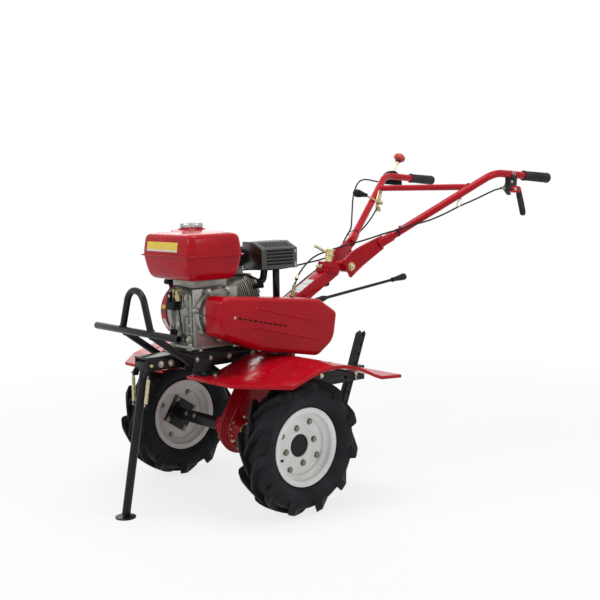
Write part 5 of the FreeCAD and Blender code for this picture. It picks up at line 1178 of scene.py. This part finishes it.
yellow_paper = printed_paper("plain_yellow_paper", [(0.0, (0.82, 0.60, 0.04)), (0.5, (0.82, 0.62, 0.06))],
                             0, 0.0, 0.4)
for number, x in enumerate((188, 226)):
    label = sheet([[spot(across, y, fender_height(y) + 0.5) for y in (290, 308)] for across in (x, x + 30)])
    piece("fender_label_%d" % number, label, yellow_paper)


# ------------------------------------------------------------------ handle column
# A welded box column of steel in red enamel, its foot bolted on the gear case's seat.
# A blank foil label, its reflections painted as grey bands, is glued to its sloping top face, and a pin stop
# is welded below.
along_column, above_column = tipped(29)
column_top = spot(0, 321, 620) + above_column * 0.0201
softened("handle_column", 0.0025, red_enamel, 30, 3)
# The foil's grey bands are painted reflections of bright metal foil.
foil_with_painted_reflections = printed_paper("foil_with_painted_reflections", [(0.0, (0.50, 0.50, 0.48)), (0.30, (0.62, 0.62, 0.60)),
                                            (0.62, (0.42, 0.42, 0.41)), (0.70, (0.60, 0.60, 0.58))],
                            1, -0.150, -0.070, "cap_chrome")
foil = [column_top + (X * across + along_column * along) / 1000
        for across, along in ((-19, -60), (19, -60), (19, 16), (-19, 16))]
piece("column_label", slab(foil, above_column * 0.0004, 0.0001, 1), foil_with_painted_reflections)
piece("column_pin_stop", solid([(0, 11), (12, 11), (14, 9)], spot(0, 392, 634), Vector((0, 0.45, -0.9)), 32),
      black_enamel)
screws("column_foot_bolts", [(spot(x, y, 545.6), Z, 6.2) for x in (-22, 22) for y in (130, 222)])


# ------------------------------------------------------------------ swivel head
# Two cast steel discs with coarse teeth, clamped face to face by a tall nut with a tommy bar.
# The upper one carries the ears of the tilt bolt; red enamel, worn on the teeth, and zinc.
swivel_back, swivel_aim = tipped(-10)
swivel_seat = spot(0, 400, 663)
DISC_TEETH = 44
NUT = [(36.3, 12.5), (37.5, 13.6), (42, 13.6), (43, 12.6), (57, 12.4), (58, 13.2), (80, 13.2), (81.4, 12),
       (81.4, 6), (79, 5.4), (79, 0)]
TOMMY_BAR = [(-19, 3.6), (-18, 4.4), (60, 4.4), (61, 5.6), (65, 5.6), (66, 4.4)]
GUIDE_BUSH = [(0, 7), (1, 8), (8, 8), (9, 6.4), (18, 6.4), (19, 8), (25, 8), (26, 7)]


def by_swivel(across, back, above):
    """A point in mm in the swivel's own directions."""
    return swivel_seat + (X * across + swivel_back * back + swivel_aim * above) / 1000


def toothed_rim(low, high):
    """The coarse teeth round a swivel disc between two heights."""
    outline = []
    for step, turn in enumerate(turns(DISC_TEETH * 4)):
        radius = 37.0 if step % 4 < 2 else 39.6
        outline.append(by_swivel(radius * math.cos(turn), radius * math.sin(turn), low))
    return slab(outline, swivel_aim * (high - low) / 1000, 0.0005, 1)


piece("lower_disc_teeth", toothed_rim(1.4, 10.6), red_enamel)
piece("upper_disc_teeth", toothed_rim(13.8, 23.0), red_enamel, "handlebar_head")
softened("swivel_head", 0.0022, red_enamel, 30, 3)
bar_aim = X * -0.1 - swivel_back + swivel_aim * 0.3
piece("clamp_nut_turned", [turned([(36.3, 0)] + NUT, swivel_seat, swivel_aim, 40),
                           solid(TOMMY_BAR, by_swivel(0, 0, 64), bar_aim, 24)],
      yellow_zinc, "handlebar_head", "clamp_nut")
piece("head_guide_bush", solid(GUIDE_BUSH, by_swivel(-14, -34, 17), X, 32), yellow_zinc, "handlebar_head")
softened("tilt_bolt", 0.001, yellow_zinc, 40)
screws("tilt_bolt_heads", [(by_swivel(sign * 47.2, 62, 31), X * sign, 11.0) for side, sign in SIDES],
       "handlebars", yellow_zinc)


# ------------------------------------------------------------------ handlebar brackets
# Pressed steel cheeks with rolled upper edges, welded round the roots of the handlebars.
# Red gloss enamel; the tilt bolt clamps them to the ears of the swivel head.
softened("arm_brackets", 0.0018, red_enamel, 30, 3)
CHEEK_TOP = [(44.6, 434, 702), (44.6, 452, 715), (44.6, 472, 727.5), (46.2, 505, 742.5), (55, 536, 756),
             (65, 566, 769), (71, 588, 778)]
CHEEK_LOW = [(45.4, 466, 648), (46.2, 505, 676), (56, 540, 702), (67, 575, 727)]
piece("bracket_rolled_edges", [run_of_tube(routed([(sign * x, y, z) for x, y, z in edge], 6), radius, 12)
                               for side, sign in SIDES
                               for edge, radius in ((CHEEK_TOP, 0.0046), (CHEEK_LOW, 0.0034))],
      red_enamel, "handlebars")


# ------------------------------------------------------------------ handlebars and grips
# Two bent steel tubes in red gloss enamel, with a straight brace welded between them.
# Soft rubber grips with finger ridges are pushed over their ends; a guide loop and ties hold the cables.
BAR_ROOT = Vector((73, 581, 757))
BAR_KNEE = Vector((265, 947, 989))
BAR_END = Vector((280, 1226, 970))
BEND_RADIUS = 0.110
GRIP_RIDGES = 5
RIDGE_PITCH = 20
GRIP = [(-130, 13.6), (-130, 17.4), (-129, 18.2), (-126, 18.2), (-125, 17.2), (-121, 16.4)]
for ridge in range(GRIP_RIDGES):
    GRIP += [(-108 + RIDGE_PITCH * ridge + along, radius + 0.2 * ridge)
             for along, radius in ((-8, 16.2), (-4, 17.0), (0, 17.3), (4, 17.0), (8, 16.3))]
GRIP += [(-14, 17.4), (-8, 18.4), (-2, 18.6), (2, 17.4), (4.4, 14.6), (5.4, 9), (5.6, 0)]
grip_rubber = worn_rubber("grip_rubber", "grip_rubber", (0.020, 0.020, 0.021), (0.085, 0.082, 0.076))


def mirrored_spot(sign, place):
    """A place on the left or right handlebar, from the left one's place in mm."""
    return spot(sign * place[0], place[1], place[2])


def bar_directions(sign, first, last):
    """Directions on a handlebar's straight stretch: along it, outwards and up."""
    along = (mirrored_spot(sign, last) - mirrored_spot(sign, first)).normalized()
    outward = along.cross(Z).normalized() * sign
    return along, outward, outward.cross(along) * sign


def bent_run(start, knee, end, radius, steps=24):
    """Points along two straight runs joined by an arc, in metres."""
    into = (knee - start).normalized()
    out = (end - knee).normalized()
    half = into.angle(out) / 2
    cut = radius * math.tan(half)
    centre = knee + (out - into).normalized() * radius / math.cos(half)
    first = knee - into * cut - centre
    last = knee + out * cut - centre
    arc = [centre + first.slerp(last, step / steps).normalized() * radius for step in range(steps + 1)]
    return [start, (start + arc[0]) / 2] + arc + [(end + arc[-1]) / 2, end]


for side, sign in SIDES:
    bar = bent_run(*[mirrored_spot(sign, place) for place in (BAR_ROOT, BAR_KNEE, BAR_END)], BEND_RADIUS)
    piece("handlebar_tube_" + side, run_of_tube(bar, 0.013, 40), red_enamel, "handlebars",
          "handlebar_" + side)
brace_at = BAR_ROOT + (BAR_KNEE - BAR_ROOT) * 0.795
brace_run = [spot(x, brace_at.y, brace_at.z) for x in (6 - brace_at.x, 0, brace_at.x - 6)]
brace = [run_of_tube(brace_run, 0.011, 36)]
for side, sign in SIDES:
    brace.append(turned([(0, 14), (2, 13.4), (4.6, 11.6), (6, 11)],
                        spot(sign * (brace_at.x - 14), brace_at.y, brace_at.z), X * -sign, 36))
piece("cross_brace_tube", brace, red_enamel, "handlebars", "cross_brace")
grips = [turned(GRIP, mirrored_spot(sign, BAR_END), bar_directions(sign, BAR_KNEE, BAR_END)[0], 44)
         for side, sign in SIDES]
piece("ridged_grips", grips, grip_rubber, "handlebars", "grips")


def hull_band(circles, along, width=0.005, thick=0.0012):
    """A flat tie drawn tight round several round cords; circles are (centre, radius) in metres."""
    middle = circles[0][0]
    points = [(way, max((centre - middle).dot(way) + radius for centre, radius in circles))
              for way in round_about(along, 60)]
    inner = []
    for (way, reach), (far_way, far_reach) in zip(points, points[1:] + points[:1]):
        bend = way.dot(far_way)
        inner.append(middle + (way * (reach - far_reach * bend) + far_way * (far_reach - reach * bend))
                     / (1 - bend * bend))
    return skinned([[point + (point - middle).normalized() * lift + along * push * width for point in inner]
                    for push, lift in ((-0.5, 0.0002), (-0.5, thick), (0.5, thick), (0.5, 0.0002))],
                   40, False, True)


def bar_at(sign, y):
    """A point of a handlebar's lower stretch at a distance behind the axle."""
    share = (y - BAR_ROOT.y) / (BAR_KNEE.y - BAR_ROOT.y)
    return mirrored_spot(sign, BAR_ROOT + (BAR_KNEE - BAR_ROOT) * share)


TIE_ROUND_BAR = 0.0131
TIE_ROUND_CORD = 0.0030
ties = [hull_band([(bar_at(sign, y), TIE_ROUND_BAR), (cord, TIE_ROUND_CORD)],
                  bar_directions(sign, BAR_ROOT, BAR_KNEE)[0])
        for sign, y, cord in ((1, 634, spot(118.5, 632, 803.5)), (-1, 622, spot(-120.5, 616, 787)))]
ties.append(solid([(0, 4.4), (3, 4.4), (4, 3.4)], spot(111, 634, 810), Vector((0.3, 0, 1)), 4))
piece("cable_ties", ties, black_plastic, "handlebars")
loop_run = [spot(212, 824, 887) + Vector((8 * math.cos(turn), 8 * math.sin(turn), 16 * math.sin(turn))) / 1000
            for turn in turns(40) + [2 * math.pi]]
piece("cable_guide_loop", run_of_tube(loop_run, 0.0018, 8, False), spring_zinc, "handlebars")


# ------------------------------------------------------------------ clutch lever
# A flat steel lever with a black dipped handle, in a folded bracket under the left grip.
# Two bright wire bands clamp the bracket; the cable's adjuster is screwed into its front.
bar_along, bar_out, bar_up = bar_directions(1, BAR_KNEE, BAR_END)
clutch_spot = mirrored_spot(1, BAR_KNEE) + bar_along * 0.088
HOOK = [(-24, -12), (-23, -30), (-26, -38), (-31, -43), (-36, -42), (-38, -49), (-26, -60), (-10, -73),
        (-3, -71), (-14, -58), (-8, -53), (18, -55), (20, -44), (23, -34), (23, -12)]
RED_CAM = [(-8, -46), (-4, -40), (16, -38), (38, -40), (46, -47), (45, -56), (36, -62), (10, -63), (-6, -58)]
PADDLE = [(32, -44), (40, -41), (48, -47), (58, -70), (70, -98), (79, -124), (80, -134), (75, -141),
          (67, -141), (62, -135), (51, -106), (38, -74)]
ADJUSTER = [(-3, 2.8), (-3, 4.6), (4, 4.6), (4.6, 3.9), (9, 3.9), (9.2, 6.4), (13.5, 6.4), (13.7, 3.6),
            (21, 3.6), (21.2, 5.4), (26, 5.4), (26.2, 3.0), (32, 3.0), (32, 0)]


def by_clutch(along, out, above):
    """A point in mm from the clutch lever's place on the left handlebar."""
    return clutch_spot + (bar_along * along + bar_out * out + bar_up * above) / 1000


def clutch_plate(outline, half, width, steps=2):
    """A flat part of the clutch lever, from (along, above) places and half its thickness in mm."""
    near_side = [by_clutch(along, -half, above) for along, above in outline]
    return slab(near_side, bar_out * half / 500, width, steps)


piece("clutch_clamp_bands", [turned([(-1.5, 13.2), (-1.2, 14.3), (1.2, 14.3), (1.5, 13.2)],
                                    by_clutch(shift, 0, 0), bar_along, 44) for shift in (-6, 5)],
      chrome, "handlebars")
saddle = turned([(-13, 13.4), (-13, 16.6), (13, 16.6), (13, 13.4)], clutch_spot, bar_along, 40)
cut_saddle = bmesh.new()
cut_saddle.from_mesh(saddle)
bmesh.ops.bisect_plane(cut_saddle, geom=cut_saddle.verts[:] + cut_saddle.edges[:] + cut_saddle.faces[:],
                       plane_co=by_clutch(0, 0, -4), plane_no=bar_up, clear_outer=True)
cut_saddle.to_mesh(saddle)
cut_saddle.free()
piece("clutch_bracket", [clutch_plate(HOOK, 8, 0.0016), saddle], black_enamel, "handlebars", "clutch_clamp")
piece("clutch_lever_cam", clutch_plate(RED_CAM, 9.4, 0.0014), red_enamel, "handlebars")
piece("clutch_lever_handle", clutch_plate(PADDLE, 7, 0.0026, 3), grip_rubber, "handlebars", "clutch_lever")
screws("clutch_pivots", [(by_clutch(12, 9.5, -50), bar_out, 5.0), (by_clutch(12, -9.5, -50), -bar_out, 5.0),
                         (by_clutch(-6, 8.2, -26), bar_out, 4.0)], "handlebars")
piece("clutch_cable_adjuster", turned(ADJUSTER, spot(269.7, 980, 936), Y, 24), chrome, "handlebars")


# ------------------------------------------------------------------ shift lever
# A half-round housing of pressed steel, black, bolted beside the right handlebar.
# The bare stem leaves it through a slot and ends in a red mushroom knob with a dark collar.
right_along, right_out, right_up = bar_directions(-1, BAR_KNEE, BAR_END)
shift_base = mirrored_spot(-1, BAR_KNEE) + right_along * 0.064 - right_up * 0.030 + right_out * 0.0133
HOUSING_RADIUS = 52
STEM = [(-3, 5.6), (1, 5.6), (2, 4.0), (34, 4.0), (35, 5.4), (42, 5.4), (43, 4.0), (47, 4.0)]
KNOB = [(46, 0), (46, 7), (47, 10), (50, 10.5), (52, 12), (54, 17), (58, 21.6), (63, 23.2), (68, 22.6),
        (73, 19.4), (77, 14), (79.4, 7), (80, 0)]


def by_shift(along, above, out):
    """A point in mm in the shift housing's own directions."""
    return shift_base + (right_along * along + right_up * above + right_out * out) / 1000


def half_round(radius, low, out, thick, width):
    """A half disc beside the right handlebar, flat side down."""
    outline = [by_shift(radius * math.cos(turn), max(low, radius * math.sin(turn)), out)
               for turn in turns(56)[:29]]
    return slab(outline, right_out * thick / 1000, width)


piece("shift_housing_pressing", [half_round(HOUSING_RADIUS, 0, 0, 22, 0.0022),
                                 half_round(HOUSING_RADIUS + 2, -1, 0, 2.4, 0.0008),
                                 half_round(HOUSING_RADIUS + 1.4, -1, 9.6, 2.6, 0.0008)],
      black_plastic, "handlebars", "shift_housing")
screws("shift_housing_screws", [(by_shift(along, above, 22.1), right_out, 4.4)
                                for along, above in ((-36, 12), (36, 12), (0, 40))], "handlebars")
stem_aim = tipped(-32)[1]
stem_foot = by_shift(12, math.sqrt(HOUSING_RADIUS ** 2 - 12 ** 2), 11)


def moulded(name, slot, colour, rough):
    """Moulded glossy plastic, slightly mottled, with handling scratches."""
    look = new_finish(name, slot, Specular_IOR_Level=0.4)
    tree = look[1]
    tone = graded(tree, cloud(tree, 90), (0.3, tinted(colour, 0.8)), (0.7, tinted(colour, 1.15)))
    worn = ranged(tree, cloud(tree, 300, (1, 1, 0.3)), 0.35, 0.75, rough, rough + 0.2)
    return dressed(look, tone, worn, cloud(tree, 500), 0.08, 0.0003)


knob_red = moulded("knob_red", "red_knob", (0.50, 0.055, 0.035), 0.26)
piece("shift_stem", solid(STEM, stem_foot, stem_aim, 24), yellow_zinc, "handlebars")
piece("shift_knob", turned(KNOB, stem_foot, stem_aim), knob_red, "handlebars", "shift_lever")
piece("shift_knob_collar", turned([(46.5, 8), (46.5, 11), (50.6, 11.6), (51.4, 10)], stem_foot, stem_aim, 36),
      black_plastic, "handlebars")


# ------------------------------------------------------------------ throttle lever
# A cranked zinc plated bracket screwed to the right handlebar, with a pivoted rod lever.
# The lever ends in a black moulded knob, and the cable's sheath is held in the bracket's foot.
low_along, low_out, low_up = bar_directions(-1, BAR_ROOT, BAR_KNEE)
throttle_base = mirrored_spot(-1, BAR_ROOT) + low_along * 0.348
PLATE = [(-14, 16), (8, 8), (9, -10), (-30, -30), (-60, -42), (-80, -36), (-80, -20), (-52, 6)]
PLATE_FOOT = [(-80, -38), (-80, -18), (-76.5, -18), (-76.5, -38)]
THROTTLE_BOSS = [(0, 8.2), (4, 8.2), (5, 6), (11, 6), (12, 8.2), (16, 8.2), (16.6, 7)]
THROTTLE_KNOB = [(-9, 4), (-9, 6.4), (-4, 7.4), (6, 8.6), (16, 11), (26, 13.6), (36, 14.6), (44, 13.6),
                 (50, 10), (53, 5), (53.6, 0)]


def by_throttle(along, rise, inwards):
    """A point in mm in the throttle bracket's own directions."""
    return throttle_base + (low_along * along + low_up * rise - low_out * inwards) / 1000


bracket = [slab([by_throttle(along, rise, 13.3) for along, rise in outline], -low_out * thick, width)
           for outline, thick, width in ((PLATE, 0.004, 0.0012), (PLATE_FOOT, 0.018, 0.0008))]
piece("throttle_plate", bracket, yellow_zinc, "handlebars", "throttle_bracket")
boss_start = by_throttle(-59, -12, 17.6)
lever_start = boss_start - low_out * 0.010
lever_knee = lever_start + Vector((-4, -75, 30)) / 1000
rod_run = smooth_route([lever_start, (lever_start + lever_knee) / 2, lever_knee], 6)
piece("throttle_rod", [solid(THROTTLE_BOSS, boss_start, -low_out, 32), run_of_tube(rod_run, 0.0036, 12)],
      yellow_zinc, "handlebars")
piece("throttle_knob", turned(THROTTLE_KNOB, lever_knee, Vector((-3, -43, 8)), 36), black_plastic,
      "handlebars", "throttle_lever")
screws("throttle_screws", [(by_throttle(*place), -low_out, size) for place, size in (
    ((-2, 0, 17.4), 5.0), ((-59, -12, 34.4), 5.2), ((-30, -8, 17.4), 4.2))], "handlebars")


# ------------------------------------------------------------------ cables
# Steel Bowden cables in black plastic sheaths, for the clutch, the throttle and the shift.
# Each runs from its control over the swivel head to the engine or gear case, held at both ends.
sheath = worn_rubber("cable_sheath", "cable_black", (0.014, 0.015, 0.017), (0.045, 0.045, 0.045))
CABLE_RADIUS = 0.0028
CLUTCH_ROUTE = [
    (269.7, 1014.4, 936), (269.7, 964, 936), (258, 916, 918), (240, 872, 898), (214, 826, 878),
    (186, 768, 848), (160, 712, 826), (138, 664, 817), (116, 628, 802), (97, 583, 792), (60, 545, 774),
    (20, 505, 758), (-20, 460, 742), (-26, 407, 730), (2, 345, 723), (30, 285, 705), (52, 238, 682),
    (70, 204, 660), (78, 172, 592), (78, 172, 530.3)]
THROTTLE_ROUTE = [
    (-174.2, 807, 863.7), (-160, 780, 846.5), (-150, 738, 815), (-141, 696, 790), (-130, 652, 770),
    (-108, 604, 758), (-88, 560, 742), (-74, 514, 722), (-62, 466, 712), (-46, 412, 704), (-34, 344, 699),
    (-16, 280, 694), (-9, 220, 690), (-16, 166, 687), (-60, 128, 690), (-60, 84.3, 690)]
SHIFT_ROUTE = [
    (-290, 955.6, 962.3), (-287, 906, 970), (-272, 852, 976), (-258, 806, 972), (-238, 764, 950),
    (-212, 724, 908), (-184, 694, 868), (-150, 658, 828), (-121, 628, 799), (-118, 594, 766),
    (-106, 560, 730), (-90, 516, 702), (-76, 466, 684), (-64, 414, 672), (-54, 364, 652), (-48, 314, 628),
    (-46, 268, 602), (-52, 228, 576), (-64, 196, 552), (-64, 185, 520), (-33.3, 185, 520)]
STRETCHES = (("handlebar_cables", "handlebars", None),
             ("tilt_cables", None, ("handlebar_head", "handlebars")),
             ("swivel_cables", None, ("chassis", "handlebar_head")),
             ("engine_cables", "chassis", None))


def cable(name, route, breaks):
    """One cable cut where its stretches follow different bodies; a break is halfway along a control run."""
    fine = routed(route)
    cuts = [0]
    for run in breaks:
        middle = (spot(*route[run]) + spot(*route[run + 1])) / 2
        cuts.append(min(range(len(fine)), key=lambda number: (fine[number] - middle).length))
    cuts.append(len(fine) - 1)
    for (part, body, between), first, last in zip(STRETCHES, cuts, cuts[1:]):
        run = fine[first:last + 1]
        stretch = piece(name + "_" + part[:-7], run_of_tube(run, CABLE_RADIUS, 10), sheath, body, part)
        if between:
            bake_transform(stretch)


cable("clutch_cable", CLUTCH_ROUTE, (9, 12, 14))
cable("throttle_cable", THROTTLE_ROUTE, (6, 8, 10))
cable("shift_cable", SHIFT_ROUTE, (10, 12, 14))
return_spring = coil_spring(spot(71, 200, 651), spot(77.6, 174, 596), 5.6, 1.3, 15)
piece("clutch_return_spring", return_spring, spring_zinc)
piece("cable_fittings", [
    turned([(-4, 3), (-4, 4.6), (6, 4.6), (7, 6), (11, 6), (11, 3)], spot(65, 213, 667),
           Vector((0.30, -0.62, -0.72)), 24),
    turned([(-6, 3), (-6, 4.6), (4, 4.6), (5, 6.4), (10, 6.4), (10, 4), (17, 4), (17, 0)], spot(78, 172, 548),
           -Z, 24),
    turned([(-6, 3), (-6, 4.6), (4, 4.6), (5, 6.4), (9, 6.4), (9, 4), (14, 4), (14, 0)], spot(-48, 185, 520),
           X, 24)], yellow_zinc)


# ------------------------------------------------------------------ hitch and depth bar
# A welded channel of steel plate under the column, black, for implements and the depth bar.
# The square depth bar slides in it and is set by a cross pin through one of its holes.
softened("hitch_arm", 0.0016, black_enamel, 40)
softened("depth_bar", 0.0016, black_enamel, 40)
softened("hitch_pin", 0.0008, yellow_zinc, 40)
CLIP = [(503, 327), (503, 318), (503, 304), (503, 294), (509.5, 288), (509.5, 290), (509.5, 300),
        (509.5, 309)]
piece("pin_clip", run_of_tube(routed([(24.5, y, z) for y, z in CLIP], 6), 0.0011), spring_zinc)
screws("hitch_bolts", [(spot(sign * 18.2, y, 322), X * sign, 6.2)
                       for side, sign in SIDES for y in (300, 352)])


# ------------------------------------------------------------------ gear lever
# A round steel rod, bent beside the gear case and led back under the handlebars, black.
# A plastic ferrule guides it at the case, and a flared rubber grip is pushed on its end.
LEVER_ROUTE = [(25.3, 262, 583), (60, 262, 583), (75, 262, 583), (76, 290, 586.6), (85, 627, 630)]
LEVER_GRIP = [(-6, 5.2), (-6, 7.4), (-4, 8), (2, 7.8), (12, 7.6), (30, 9.8), (46, 11.6), (53, 11.8), (57, 10),
              (58.6, 6), (59, 0)]
LEVER_FERRULE = [(20, 5.1), (20, 7.6), (22, 8.6), (38, 8.6), (40, 9.8), (52, 9.8), (54, 8), (64, 6.6),
                 (65, 5.1)]
rod = run_of_tube(routed(LEVER_ROUTE, 12), 0.0050, 16)
piece("gear_lever_rod", rod, black_enamel, "chassis", "gear_lever")
lever_end = spot(*LEVER_ROUTE[-1])
lever_bend = spot(*LEVER_ROUTE[2])
piece("gear_lever_rubbers", [turned(LEVER_GRIP, lever_end, lever_end - lever_bend, 36),
                             turned(LEVER_FERRULE, lever_bend, lever_end - lever_bend, 32)], grip_rubber)
